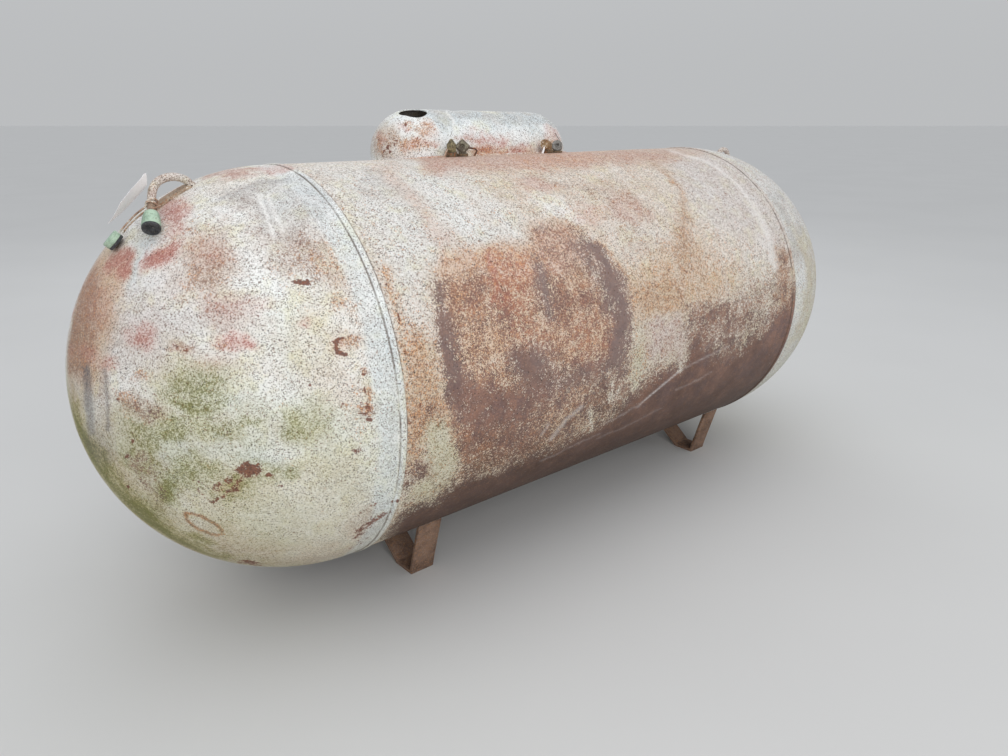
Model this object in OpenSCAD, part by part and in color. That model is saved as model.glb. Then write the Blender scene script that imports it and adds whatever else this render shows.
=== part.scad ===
// Old horizontal pressure tank on four bent strap legs.
// Millimetres, +X along the tank, +Z up, origin on the floor under the middle of the tank.

/* [Vessel] */
// Outside diameter of the shell and of both ends
tank_d = 1067; // [900:1:1200]
// Length of the cylindrical shell between the two ring welds
shell_len = 1665; // [1400:5:2400]
// Thickness of the steel plate of the shell and ends
wall = 8; // [5:0.5:12]
// Straight flange of each end before it turns into a half sphere
flange = 18; // [10:1:40]
// Height of the tank's centre line above the floor
axis_z = 620; // [600:1:640]
// Width of the raised ring weld
bead_w = 17; // [10:1:24]
// Height of the ring weld over the plate
bead_h = 2.5; // [1:0.5:4]

/* [Legs] */
// Distance of the left pair of legs from the tank's middle
leg_left_x = 609; // [500:1:700]
// Distance of the right pair of legs from the tank's middle
leg_right_x = 731; // [500:1:750]
// Width of the leg strap
strap_w = 78; // [60:1:100]
// Thickness of the leg strap
strap_t = 10; // [6:1:14]
// Outer edge of the foot, measured from the centre line
foot_out = 250; // [230:1:260]
// Inner end of the flat foot
foot_in = 172; // [150:1:190]

/* [Hood] */
// Middle of the hood along the tank
hood_x = -48; // [-100:1:100]
// Middle of the hood across the tank
hood_y = 197; // [150:1:220]
// Half width of the hood, also the radius of its round ends
hood_r = 144; // [120:1:160]
// Length of the straight part of the hood
hood_mid = 450; // [300:1:600]
// Height of the hood's top over the floor at its middle
hood_top = 1286; // [1260:1:1300]
// Radius of the hood's rounded shoulder
hood_shoulder = 132; // [60:1:140]
// Thickness of the hood's sheet steel
hood_t = 3; // [2:0.5:5]
// Lean of the hood along the tank, in degrees
hood_lean = 0.9; // [0:0.1:2]
// Width of the oval vent hole in the hood
vent_w = 72; // [50:1:90]
// Length of the oval vent hole in the hood
vent_l = 92; // [72:1:110]

/* [Lifting lugs] */
// Diameter of the bar that the lugs are bent from
lug_bar = 19; // [16:1:32]

/* [Fittings] */
// Outside diameter of the couplings on the ridge
coupling_d = 34; // [30:1:40]
// Distance of the couplings from the centre line
fitting_y = 16; // [5:1:24]

/* [Hidden] */
$fn = 96;
R = tank_d / 2;
Ri = R - wall;
half = shell_len / 2;
head_c = half + flange;            // centre of each half sphere
paint = [0.80, 0.78, 0.73];
rust = [0.45, 0.27, 0.20];
steel = [0.45, 0.45, 0.44];
brass = [0.52, 0.47, 0.28];
mint = [0.66, 0.80, 0.70];
rubber = [0.10, 0.11, 0.12];

// ---------- helpers ----------

// height of the shell's top surface at distance y from the centre line
function top_z(y) = axis_z + sqrt(R * R - y * y);

// straight round bar between two points
module bar(a, b, d) {
    v = b - a;
    l = norm(v);
    translate(a)
        rotate([0, acos(v[2] / l), atan2(v[1], v[0])])
            cylinder(d = d, h = l, $fn = 32);
}

// round bar swept along a bent route as one tube, with flat ends
function unit(v) = v / norm(v);
function tangent(p, i) = unit(p[min(i + 1, len(p) - 1)] - p[max(i - 1, 0)]);
function ring(c, t, d, n) = let (u = unit(cross([0, 1, 0.2], t)), w = cross(t, u))
    [for (k = [0 : n - 1]) c + d / 2 * (cos(360 * k / n) * u + sin(360 * k / n) * w)];
module tube(p, d, n = 14) {
    m = len(p);
    pts = [for (i = [0 : m - 1]) each ring(p[i], tangent(p, i), d, n)];
    polyhedron(points = pts, faces = concat(
        [[for (k = [n - 1 : -1 : 0]) k]],
        [for (i = [0 : m - 2], k = [0 : n - 1])
            [i * n + k, i * n + (k + 1) % n, (i + 1) * n + (k + 1) % n, (i + 1) * n + k]],
        [[for (k = [0 : n - 1]) (m - 1) * n + k]]));
}

// solid cylinder along X with the tank's outside size
module tank_round(r, l) {
    translate([-l / 2, 0, axis_z]) rotate([0, 90, 0]) cylinder(r = r, h = l, $fn = 360);
}

// solid half sphere with its straight flange, opening towards +Z at z = 0
module dome(r) {
    cylinder(r = r, h = flange);
    translate([0, 0, flange]) difference() {
        sphere(r = r);
        translate([-r - 1, -r - 1, -2 * r]) cube([2 * r + 2, 2 * r + 2, 2 * r]);
    }
}

// ---------- vessel ----------

module shell() {
    color(paint) difference() {
        tank_round(R, shell_len);
        tank_round(Ri, shell_len + 2);
    }
}

module head() {
    color(paint)
        translate([half, 0, axis_z]) rotate([0, 90, 0])
            difference() {
                dome(R);
                translate([0, 0, -0.001]) dome_inner();
            }
}

// inside of a head, carried a little past the seam so that the cut is clean
module dome_inner() {
    translate([0, 0, -5]) cylinder(r = Ri, h = flange + 5.001);
    translate([0, 0, flange]) difference() {
        sphere(r = Ri);
        translate([-Ri - 1, -Ri - 1, -2 * Ri]) cube([2 * Ri + 2, 2 * Ri + 2, 2 * Ri]);
    }
}

module head_right() { head(); }
module head_left() { mirror([1, 0, 0]) head(); }

// crowned ring weld over the seam
function bead_profile(n) = concat(
    [[R, -bead_w / 2]],
    [for (i = [1 : n - 1]) let (a = 180 * i / n) [R + bead_h * sin(a), -bead_w / 2 * cos(a)]],
    [[R, bead_w / 2]]);

module ring_weld(x) {
    color(paint) translate([x, 0, axis_z]) rotate([0, 90, 0])
        rotate_extrude() polygon(bead_profile(8));
}
module weld_left() { ring_weld(-half); }
module weld_right() { ring_weld(half); }

// ---------- legs ----------

// unit normal to the left of the way from a to b
function side(a, b) = let (v = b - a) [-v[1], v[0]] / norm(v);
// mitred offset of point i of path p by t
function mitre(p, i, t) =
    i == 0 ? p[0] + t * side(p[0], p[1]) :
    i == len(p) - 1 ? p[i] + t * side(p[i - 1], p[i]) :
    let (n1 = side(p[i - 1], p[i]), n2 = side(p[i], p[i + 1]))
        p[i] + t * (n1 + n2) / (1 + n1 * n2);

// path of the strap's outer face in the cross plane: down from the tank's
// side, a slight bend, the flat foot, and up to the tank's bottom
leg_path = [[-312, 216], [-259, 36], [-foot_out, 0], [-foot_in, 0], [-40, 106]];

module leg(x) {
    color(rust) difference() {
        translate([x - strap_w / 2, 0, 0]) rotate([90, 0, 90])
            linear_extrude(height = strap_w)
                polygon(concat(leg_path,
                    [for (i = [len(leg_path) - 1 : -1 : 0]) mitre(leg_path, i, strap_t)]));
        tank_round(R, shell_len + 2);
    }
}
module leg_front_left() { leg(-leg_left_x); }
module leg_front_right() { leg(leg_right_x); }
module leg_back_left() { mirror([0, 1, 0]) leg(-leg_left_x); }
module leg_back_right() { mirror([0, 1, 0]) leg(leg_right_x); }

// ---------- hood ----------

// half of the hood's cross-section, as high as h, with its shoulder
module hood_half(r, h, s) {
    square([r, h - s]);
    square([r - s, h]);
    translate([r - s, h - s]) circle(r = s);
}

hood_base = 1000;

// closed hood shape standing on the level hood_base
module hood_form(r, h, s) {
    for (x = [-hood_mid / 2, hood_mid / 2])
        translate([x, 0, 0]) rotate_extrude() intersection() {
            hood_half(r, h, s);
            square([r + 1, h + 1]);
        }
    rotate([90, 0, 90]) translate([0, 0, -hood_mid / 2]) linear_extrude(height = hood_mid)
        union() { hood_half(r, h, s); mirror([1, 0, 0]) hood_half(r, h, s); }
}

module hood_place() {
    translate([hood_x, hood_y, hood_base]) rotate([0, hood_lean, 0]) children();
}

module hood_cover() {
    h = hood_top - hood_base;
    color(paint) difference() {
        hood_place() hood_form(hood_r, h, hood_shoulder);
        hood_place() translate([0, 0, -hood_t]) hood_form(hood_r - hood_t, h, hood_shoulder - hood_t);
        tank_round(R, shell_len);
        // oval vent hole through the left end of the crown
        translate([-303, 162, 1150]) rotate([0, 0, 20]) {
            for (t = [-1, 1]) translate([0, t * (vent_l - vent_w) / 2, 0]) cylinder(d = vent_w, h = 300);
            translate([-vent_w / 2, -(vent_l - vent_w) / 2, 0]) cube([vent_w, vent_l - vent_w, 300]);
        }
        // upright slot in the right end
        translate([229.5, 73.5, 1202]) rotate([52.8, 49.8, -9.1]) translate([-17, -4, -15]) cube([34, 8, 30]);
    }
}

// outline of the hood grown by g, as an upright prism
module hood_outline(g) {
    hood_place() {
        for (x = [-hood_mid / 2, hood_mid / 2]) translate([x, 0, -60]) cylinder(r = hood_r + g, h = 300);
        translate([-hood_mid / 2, -hood_r - g, -60]) cube([hood_mid, 2 * (hood_r + g), 300]);
    }
}

module hood_foot_strip() {
    color(paint) difference() {
        intersection() {
            hood_outline(11);
            tank_round(R + 4, shell_len - 40);
        }
        hood_outline(0);
        tank_round(R, shell_len);
    }
}

// ---------- fittings on the ridge ----------

// half coupling set on the shell
module coupling(x, y, h) {
    color(steel) difference() {
        translate([x, y, axis_z]) cylinder(d = coupling_d, h = top_z(y) - axis_z + h);
        tank_round(R, shell_len);
    }
}

brass_x = -269;
square_x = -227;
elbow_x = 130;
cap_x = 172;
ct = top_z(fitting_y);             // where the couplings stand

module coupling_brass() { coupling(brass_x, fitting_y, 14); }
module coupling_square() { coupling(square_x, fitting_y, 8); }
module coupling_elbow() { coupling(elbow_x, fitting_y, 10); }
module coupling_cap() { coupling(cap_x, fitting_y, 6); }

// hexagon body with a pointed cap and a round boss that looks to the left
module plug_brass() {
    color(brass) translate([brass_x, fitting_y, ct + 14]) {
        cylinder(d = 30, h = 24, $fn = 6);
        translate([0, 0, 24]) cylinder(d1 = 24, d2 = 7, h = 13);
        translate([0, 0, 15]) rotate([0, -88, 48]) cylinder(d = 21, h = 23);
    }
}

// square head with a round socket, leaning to the near side
module plug_square() {
    color(steel) translate([square_x, fitting_y, ct + 8]) {
        cylinder(d = 24, h = 10);
        translate([0, 0, 20]) rotate([0, -66, 52]) rotate([0, 0, 45]) difference() {
            translate([-15.5, -15.5, -9]) cube([31, 31, 18]);
            translate([0, 0, 3]) cylinder(d = 12, h = 10);
        }
    }
}

// street elbow with its open end to the left, along the tank
module elbow() {
    color(rust) translate([elbow_x, fitting_y, ct + 10]) {
        cylinder(d = 25, h = 16);
        translate([0, 0, 16]) sphere(d = 25);
        translate([0, 0, 16]) rotate([0, -84, 18]) cylinder(d = 24, h = 22);
        translate([0, 0, 16]) rotate([0, -84, 18]) translate([0, 0, 16]) cylinder(d = 30, h = 10);
    }
}

module cap_disc() {
    color(steel) translate([cap_x, fitting_y, ct + 6]) {
        cylinder(d = 22, h = 14);
        translate([0, 0, 15]) rotate([0, -62, 46]) difference() {
            translate([0, 0, -6]) cylinder(d = 35, h = 13);
            translate([0, 0, 2]) cylinder(d = 11, h = 10);
        }
    }
}

// thin bent rods beside the fittings
module rod_left() {
    color(rust) tube([[-301, fitting_y - 6, top_z(fitting_y - 6)], [-297, fitting_y - 6, 1160], [-292, fitting_y - 5, 1169], [-286, fitting_y - 4, 1177]], 6, 8);
}
module rod_middle() {
    color(rust) tube([[-212, fitting_y, 1178], [-190, fitting_y, 1176], [-177, fitting_y, 1173], [-172, fitting_y, 1167], [-177, fitting_y, 1160], [-182, fitting_y, top_z(fitting_y)]], 6, 8);
}
module rod_right() {
    color(paint) tube([[98, fitting_y - 8, top_z(fitting_y - 8)], [103, fitting_y - 8, 1165], [109, fitting_y - 7, 1175], [117, fitting_y - 5, 1183]], 6, 8);
}

// ---------- lifting lugs ----------

// point on a head, given by its height angle from the end pole and its turn
function on_head(a, turn, d) = [head_c + (R + d) * cos(a), (R + d) * sin(a) * sin(turn), axis_z + (R + d) * sin(a) * cos(turn)];

// bar bent into an arch over the head, in the upright plane through the axis
lug_gap = 72;                      // between the two legs' centre lines
lug_rise = 12;                     // straight part of each leg over the plate
module lug_right() {
    color(paint) difference() {
        translate([head_c, 0, axis_z]) rotate([0, 27.6, 0]) translate([0, 0, R]) {
            for (x = [-lug_gap / 2, lug_gap / 2]) translate([x, 0, -20]) cylinder(d = lug_bar, h = 20 + lug_rise);
            translate([0, 0, lug_rise]) rotate([90, 0, 0]) rotate_extrude(angle = 180) translate([lug_gap / 2, 0]) circle(d = lug_bar);
        }
        translate([head_c, 0, axis_z]) sphere(r = R);
    }
}

// the left lug's outer leg has come off the head and leans to the near side
lug_route = [on_head(67.2, 0, 0.5), on_head(67.4, 0, 7), on_head(67.1, -0.3, 15), on_head(66.3, -0.7, 24.6),
             on_head(65.1, -1.2, 34.7), on_head(63.7, -1.8, 42.7), on_head(62.1, -2.4, 48.0), on_head(60.6, -3.0, 49.9),
             on_head(59.3, -3.9, 48.6), on_head(58.0, -5.1, 44.4), on_head(56.8, -6.8, 38.8), on_head(55.4, -9.2, 32.5),
             on_head(54.1, -11.8, 28.6)];
module lug_left() {
    mirror([1, 0, 0]) color(paint) tube(lug_route, lug_bar);
}

// curved pad plate under each lug
module lug_pad() {
    color(rust) translate([head_c, 0, axis_z]) intersection() {
        difference() { sphere(r = R + 7); sphere(r = R); }
        rotate([0, 27.7, 0]) translate([-42, -19, R - 60]) cube([103, 38, 100]);
    }
}
module lug_pad_right() { lug_pad(); }
module lug_pad_left() { mirror([1, 0, 0]) lug_pad(); }

// ---------- hangers on the left lug ----------

near_a = on_head(54.1, -11.8, 28.6);
near_b = on_head(51.6, -16.8, 21.0);
near_v = (near_b - near_a) / norm(near_b - near_a);
far_v = [-0.701, -0.203, -0.684] / norm([-0.701, -0.203, -0.684]);
far_a = on_head(44.2, -0.5, 26.5);
far_b = far_a + 15 * far_v;
hanger_d = 43;

module hanger_near() { mirror([1, 0, 0]) color(mint) bar(near_a, near_b - 6 * near_v, hanger_d - 2); }
module hanger_near_face() { mirror([1, 0, 0]) color(rubber) bar(near_b - 6 * near_v, near_b, hanger_d - 3); }
module hanger_far() { mirror([1, 0, 0]) color(mint) bar(far_a, far_b, hanger_d); }
module hanger_far_face() { mirror([1, 0, 0]) color(rubber) bar(far_b, far_b + 7 * far_v, hanger_d - 1); }

// two thin rods from the lug's leg to the far hanger
module hanger_rods() {
    mirror([1, 0, 0]) color(rust) {
        bar(on_head(54.1, -9.0, 39.1), on_head(46.8, -1.5, 17.9), 5);
        bar(on_head(53.9, -10.5, 35.7), on_head(46.9, -2.5, 13.5), 5);
    }
}

// plain paper tag tied to the lug
module blank_tag() {
    color("white") translate([-1211, -71.4, 1103.7]) rotate([-131.21, 31.7, -150.64])
        translate([0, 0, -0.5]) linear_extrude(height = 1)
            polygon([[-64.7, -17.9], [50, -30.4], [72.3, 30.4], [-57.6, 17.9]]);
}

shell();
head_left();
head_right();
weld_left();
weld_right();
leg_front_left();
leg_front_right();
leg_back_left();
leg_back_right();
hood_cover();
hood_foot_strip();
coupling_brass();
plug_brass();
coupling_square();
plug_square();
coupling_elbow();
elbow();
coupling_cap();
cap_disc();
rod_left();
rod_middle();
rod_right();
lug_left();
lug_right();
lug_pad_left();
lug_pad_right();
hanger_near();
hanger_far();
hanger_far_face();
hanger_near_face();
hanger_rods();
blank_tag();
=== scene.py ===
import bpy
import bmesh
import math
import numpy as np
from mathutils import Vector, Matrix


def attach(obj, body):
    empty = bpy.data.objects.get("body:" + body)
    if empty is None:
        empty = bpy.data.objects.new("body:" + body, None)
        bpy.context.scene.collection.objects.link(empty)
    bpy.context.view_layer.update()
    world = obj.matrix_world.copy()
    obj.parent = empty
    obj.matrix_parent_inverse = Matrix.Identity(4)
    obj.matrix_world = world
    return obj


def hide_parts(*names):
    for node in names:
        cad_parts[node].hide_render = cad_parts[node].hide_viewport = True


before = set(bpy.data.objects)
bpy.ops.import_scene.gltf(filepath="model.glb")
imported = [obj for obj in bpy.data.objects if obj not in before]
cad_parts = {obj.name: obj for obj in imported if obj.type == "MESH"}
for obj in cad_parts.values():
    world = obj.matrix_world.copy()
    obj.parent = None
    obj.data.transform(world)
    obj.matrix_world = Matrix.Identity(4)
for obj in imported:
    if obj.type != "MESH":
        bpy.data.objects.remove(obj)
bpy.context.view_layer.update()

# ------------------------------------------------------------------ sizes (metres), as in the CAD model
R = 0.5335
WALL = 0.008
HALF = 0.8325
FLANGE = 0.018
HC = HALF + FLANGE
AZ = 0.620
SEAM = HALF

# ------------------------------------------------------------------ camera, first of all
CAM = np.array([-1.72126, -1.91407, 1.27005])
YAW, PITCH, FPX = math.radians(40.6856), math.radians(18.6977), 775.19
cf = np.array([math.sin(YAW) * math.cos(PITCH), math.cos(YAW) * math.cos(PITCH), -math.sin(PITCH)])
cr = np.array([math.cos(YAW), -math.sin(YAW), 0.0])
cd = np.cross(cf, cr)
cam_data = bpy.data.cameras.new("camera")
cam_data.sensor_fit = "HORIZONTAL"
cam_data.sensor_width = 36.0
cam_data.lens = FPX * 36.0 / 1008.0
cam_data.clip_start, cam_data.clip_end = 0.05, 100.0
cam = bpy.data.objects.new("camera", cam_data)
bpy.context.scene.collection.objects.link(cam)
cam.matrix_world = Matrix(((cr[0], -cd[0], -cf[0], CAM[0]), (cr[1], -cd[1], -cf[1], CAM[1]), (cr[2], -cd[2], -cf[2], CAM[2]), (0, 0, 0, 1)))
bpy.context.scene.camera = cam


def pixel(P):
    """Where points of the object fall in the picture frame, in pixels of a 1008 x 756 image."""
    q = P - CAM
    z = q @ cf
    return 504 + FPX * (q @ cr) / z, 378 + FPX * (q @ cd) / z


# ------------------------------------------------------------------ seeded noise on arrays of points
_r = np.random.RandomState(7)
_perm = np.concatenate([_r.permutation(256)] * 3)
_grad = _r.normal(size=(256, 3))
_grad /= np.linalg.norm(_grad, axis=1)[:, None]


def gnoise(P, freq, seed=0):
    P = P * freq + seed * 17.31
    i = np.floor(P).astype(np.int64)
    f = P - i
    u = f * f * f * (f * (f * 6 - 15) + 10)
    i &= 255
    out = 0
    for dx in (0, 1):
        for dy in (0, 1):
            for dz in (0, 1):
                h = _perm[_perm[_perm[(i[:, 0] + dx) & 255] + ((i[:, 1] + dy) & 255)] + ((i[:, 2] + dz) & 255)]
                d = (_grad[h] * (f - np.array([dx, dy, dz]))).sum(1)
                w = (u[:, 0] if dx else 1 - u[:, 0]) * (u[:, 1] if dy else 1 - u[:, 1]) * (u[:, 2] if dz else 1 - u[:, 2])
                out = out + w * d
    return out * 1.6          # about -1 to 1


def fbm(P, freq, octaves=4, seed=0, gain=0.5):
    total, amp = 0, 1.0
    for k in range(octaves):
        total = total + amp * gnoise(P, freq * 2 ** k, seed + k * 3)
        amp *= gain
    return total


def sstep(a, b, x):
    t = np.clip((x - a) / (b - a), 0, 1)
    return t * t * (3 - 2 * t)


# ------------------------------------------------------------------ mesh helpers
def mesh_object(name, verts, faces, smooth=True):
    me = bpy.data.meshes.new(name)
    me.from_pydata([tuple(v) for v in verts], [], [tuple(f) for f in faces])
    me.validate()
    me.update()
    if smooth:
        me.polygons.foreach_set("use_smooth", [True] * len(me.polygons))
    ob = bpy.data.objects.new(name, me)
    bpy.context.scene.collection.objects.link(ob)
    return ob


def fast_mesh(name, verts, quads, smooth=True):
    """A mesh of quads only, from arrays."""
    me = bpy.data.meshes.new(name)
    verts = np.asarray(verts, np.float32)
    quads = np.asarray(quads, np.int32)
    me.vertices.add(len(verts))
    me.vertices.foreach_set("co", verts.ravel())
    me.loops.add(quads.size)
    me.loops.foreach_set("vertex_index", quads.ravel())
    me.polygons.add(len(quads))
    me.polygons.foreach_set("loop_start", np.arange(0, quads.size, 4, dtype=np.int32))
    me.polygons.foreach_set("loop_total", np.full(len(quads), 4, np.int32))
    me.update(calc_edges=True)
    me.validate()
    me.polygons.foreach_set("use_smooth", [smooth] * len(me.polygons))
    ob = bpy.data.objects.new(name, me)
    bpy.context.scene.collection.objects.link(ob)
    return ob


def lathe_quads(rows, cols, closed=True):
    """Quads of a grid of rows x cols points that closes round in cols, and in rows too if closed."""
    r = np.arange(rows if closed else rows - 1)
    c = np.arange(cols)
    a, b = np.meshgrid(r, c, indexing="ij")
    a2 = (a + 1) % rows
    b2 = (b + 1) % cols
    return np.stack([a * cols + b, a * cols + b2, a2 * cols + b2, a2 * cols + b], -1).reshape(-1, 4)


def shade_attr(ob, name, arr):
    """Stores a three-number value at each point."""
    at = ob.data.attributes.new(name, "FLOAT_VECTOR", "POINT")
    at.data.foreach_set("vector", np.ascontiguousarray(arr, np.float32).ravel())


# ------------------------------------------------------------------ where paint, primer, rust and growth lie, and some painted shade and highlights
# Each mark is placed in the picture's pixels on the side that the picture shows, and the far side repeats it.
CH = ["white", "tan", "blue", "green", "pink", "brown", "prim", "ring", "mark", "fleck", "speck", "dark", "line", "red", "chalk"]


class Map:
    def __init__(self, u, v, P):
        n = len(u)
        self.c = {k: np.zeros(n) for k in CH}
        self.P = P
        a, b = fbm(P, 9, 3, 1), fbm(P, 9, 3, 2)
        c, d = fbm(P, 45, 2, 3), fbm(P, 45, 2, 4)
        self.u, self.v = u, v
        self.wide = (u + 9 * a + 3.0 * c, v + 9 * b + 3.0 * d)
        self.mid = (u + 3.5 * a + 2.2 * c, v + 3.5 * b + 2.2 * d)
        self.thin = (u + 1.2 * a + 0.8 * c, v + 1.2 * b + 0.8 * d)
        self.var = np.clip(1 + 0.45 * fbm(P, 16, 3, 5), 0.35, 1.5)

    def xy(self, wob):
        return {0: (self.u, self.v), 1: self.thin, 2: self.mid, 3: self.wide}[wob]

    def put(self, ch, m, s, vary=True):
        if vary:
            m = np.clip(m * (0.35 + 0.65 * self.var), 0, 1)
        if isinstance(s, tuple):
            self.c[ch] = self.c[ch] * (1 - m) + s[0] * m
        elif s < 0:
            self.c[ch] = self.c[ch] * (1 + s * m)
        else:
            self.c[ch] = np.maximum(self.c[ch], s * m)

    def blob(self, ch, x, y, rx, ry=None, rot=0, s=1.0, soft=0.6, wob=3, vary=True):
        ry = ry or rx
        u, v = self.xy(wob)
        a = math.radians(rot)
        dx, dy = u - x, v - y
        d = np.hypot((dx * math.cos(a) + dy * math.sin(a)) / rx, (-dx * math.sin(a) + dy * math.cos(a)) / ry)
        self.put(ch, 1 - sstep(1 - soft, 1 + soft, d), s, vary)

    def inside(self, pts, wob):
        """Signed distance to a closed outline, in pixels, positive inside."""
        u, v = self.xy(wob)
        best = np.full(len(u), 1e9)
        odd = np.zeros(len(u), bool)
        for (x0, y0), (x1, y1) in zip(pts, pts[1:] + pts[:1]):
            ex, ey = x1 - x0, y1 - y0
            t = np.clip(((u - x0) * ex + (v - y0) * ey) / (ex * ex + ey * ey + 1e-9), 0, 1)
            best = np.minimum(best, np.hypot(u - x0 - t * ex, v - y0 - t * ey))
            cross = ((y0 > v) != (y1 > v)) & (u < (x1 - x0) * (v - y0) / (y1 - y0 + 1e-12) + x0)
            odd ^= cross
        return np.where(odd, best, -best)

    def area(self, ch, pts, s=1.0, soft=6, wob=3, vary=True, grow=0):
        self.put(ch, sstep(-soft, soft, self.inside(pts, wob) + grow), s, vary)

    def stroke(self, ch, pts, w, s=1.0, soft=1.2, wob=1, vary=False):
        u, v = self.xy(wob)
        best = np.full(len(u), 1e9)
        for (x0, y0), (x1, y1) in zip(pts, pts[1:]):
            ex, ey = x1 - x0, y1 - y0
            t = np.clip(((u - x0) * ex + (v - y0) * ey) / (ex * ex + ey * ey + 1e-9), 0, 1)
            best = np.minimum(best, np.hypot(u - x0 - t * ex, v - y0 - t * ey))
        self.put(ch, 1 - sstep(w / 2 - soft, w / 2 + soft, best), s, vary)


def paint_left_head(m):
    c = m.c
    c["white"] += 0.60
    c["speck"] += 0.55
    c["fleck"] += 0.13
    c["tan"] += 0.06
    B, A, S = m.blob, m.area, m.stroke
    # lighter, cleaner places
    for x, y, rx, ry, s in ((152, 282, 26, 18, .9), (128, 382, 24, 22, .9), (233, 401, 20, 9, .9), (312, 345, 20, 26, .9), (337, 424, 15, 20, .95),
                            (247, 450, 20, 12, 1), (166, 455, 10, 10, 1), (300, 300, 30, 24, .75), (300, 400, 40, 40, .75), (150, 250, 12, 20, .8),
                            (330, 200, 26, 18, .8), (205, 215, 18, 14, .7), (268, 215, 12, 20, .8), (190, 310, 24, 14, .8), (170, 410, 20, 14, .75)):
        B("white", x, y, rx, ry, s=s, soft=.8)
    for x, y, rx, ry, s in ((200, 450, 34, 7, .70), (172, 442, 13, 8, .85), (165, 456, 10, 9, .8), (252, 456, 22, 10, .7), (214, 436, 10, 4, .7), (232, 402, 16, 6, .6), (300, 520, 44, 20, .45), (330, 492, 30, 16, .35)):
        B("blue", x, y, rx, ry, s=s, soft=.9)
        B("white", x, y, rx, ry, s=s, soft=.9)
    A("tan", [(300, 290), (350, 290), (366, 340), (366, 400), (340, 420), (300, 400), (286, 340)], .34, soft=20)
    A("tan", [(190, 440), (250, 470), (360, 450), (372, 520), (345, 556), (260, 566), (215, 545), (190, 500)], .34, soft=22)
    B("tan", 150, 400, 40, 60, s=.22, soft=.9)
    B("tan", 250, 360, 60, 40, s=.18, soft=.9)
    B("blue", 138, 256, 9, 24, 18, s=1.0, wob=2)
    B("blue", 140, 284, 20, 14, s=.45)
    B("blue", 178, 272, 7, 20, s=.35)
    B("blue", 250, 452, 22, 10, s=.35)
    B("blue", 165, 455, 9, 9, s=.45)
    B("blue", 200, 320, 40, 14, s=.30)
    B("blue", 275, 200, 30, 26, -20, s=.45)
    # red primer showing through
    for x, y, rx, ry, rot, s in ((176, 209, 19, 11, -25, .82), (172, 226, 13, 9, -35, .52), (158, 252, 21, 11, -22, .84), (120, 262, 16, 11, -35, .80),
                                 (142, 335, 13, 11, 0, .78), (230, 343, 18, 8, 0, .62), (253, 341, 10, 7, 0, .80), (112, 362, 12, 7, -10, .52),
                                 (180, 349, 14, 5, 0, .30), (200, 250, 26, 14, 10, .30), (222, 310, 30, 16, 0, .30), (172, 196, 9, 6, -25, .55),
                                 (310, 322, 7, 6, 0, .36), (262, 303, 12, 8, 0, .28), (90, 352, 14, 10, 0, .46), (150, 300, 50, 60, 0, .14), (212, 360, 20, 10, 0, .25),
                                 (100, 300, 20, 40, 0, .30)):
        B("pink", x, y, rx, ry, rot, s=s, soft=.85)
    # brown stains
    for x, y, rx, ry, rot, s in ((205, 262, 30, 32, 0, .58), (222, 310, 30, 24, 0, .52), (300, 250, 30, 30, 0, .50), (262, 230, 22, 16, 0, .38), (178, 250, 22, 16, 0, .36), (245, 204, 34, 12, -15, .34),
                                 (185, 290, 18, 14, 0, .28), (136, 404, 18, 15, 0, .40), (152, 468, 15, 16, -30, .52), (130, 440, 14, 34, -20, .36),
                                 (120, 480, 18, 44, -30, .40), (300, 430, 30, 14, 0, .18), (104, 400, 12, 60, -3, .36), (215, 430, 34, 14, 0, .22),
                                 (330, 270, 14, 30, -20, .34), (150, 340, 60, 40, 0, .15), (230, 372, 50, 10, 0, .18), (182, 347, 16, 6, 0, .62), (180, 500, 30, 20, 20, .25), (250, 545, 40, 10, 5, .25)):
        B("brown", x, y, rx, ry, rot, s=s, soft=.9)
    A("tan", [(66, 250), (110, 226), (124, 262), (118, 330), (104, 372), (84, 400), (66, 380), (60, 300)], .92, soft=20)
    A("brown", [(62, 256), (90, 244), (104, 290), (98, 350), (84, 384), (66, 374), (58, 300)], .88, soft=18)
    A("fleck", [(62, 256), (90, 244), (104, 290), (98, 350), (84, 384), (66, 374), (58, 300)], .55, soft=18)
    B("tan", 205, 262, 30, 34, s=.34, soft=.9)
    B("tan", 340, 275, 18, 34, -25, s=.40, soft=.9)
    B("tan", 360, 312, 14, 18, s=.45)
    B("fleck", 335, 262, 9, 26, -14, s=.52)
    B("fleck", 352, 300, 12, 26, -12, s=.42)
    B("fleck", 205, 275, 34, 40, s=.38)
    B("fleck", 300, 262, 34, 34, s=.38)
    B("fleck", 357, 405, 13, 48, s=.36)
    B("fleck", 135, 405, 20, 18, s=.44)
    B("fleck", 88, 310, 24, 64, s=.46)
    B("fleck", 180, 235, 40, 20, s=.36)
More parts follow.
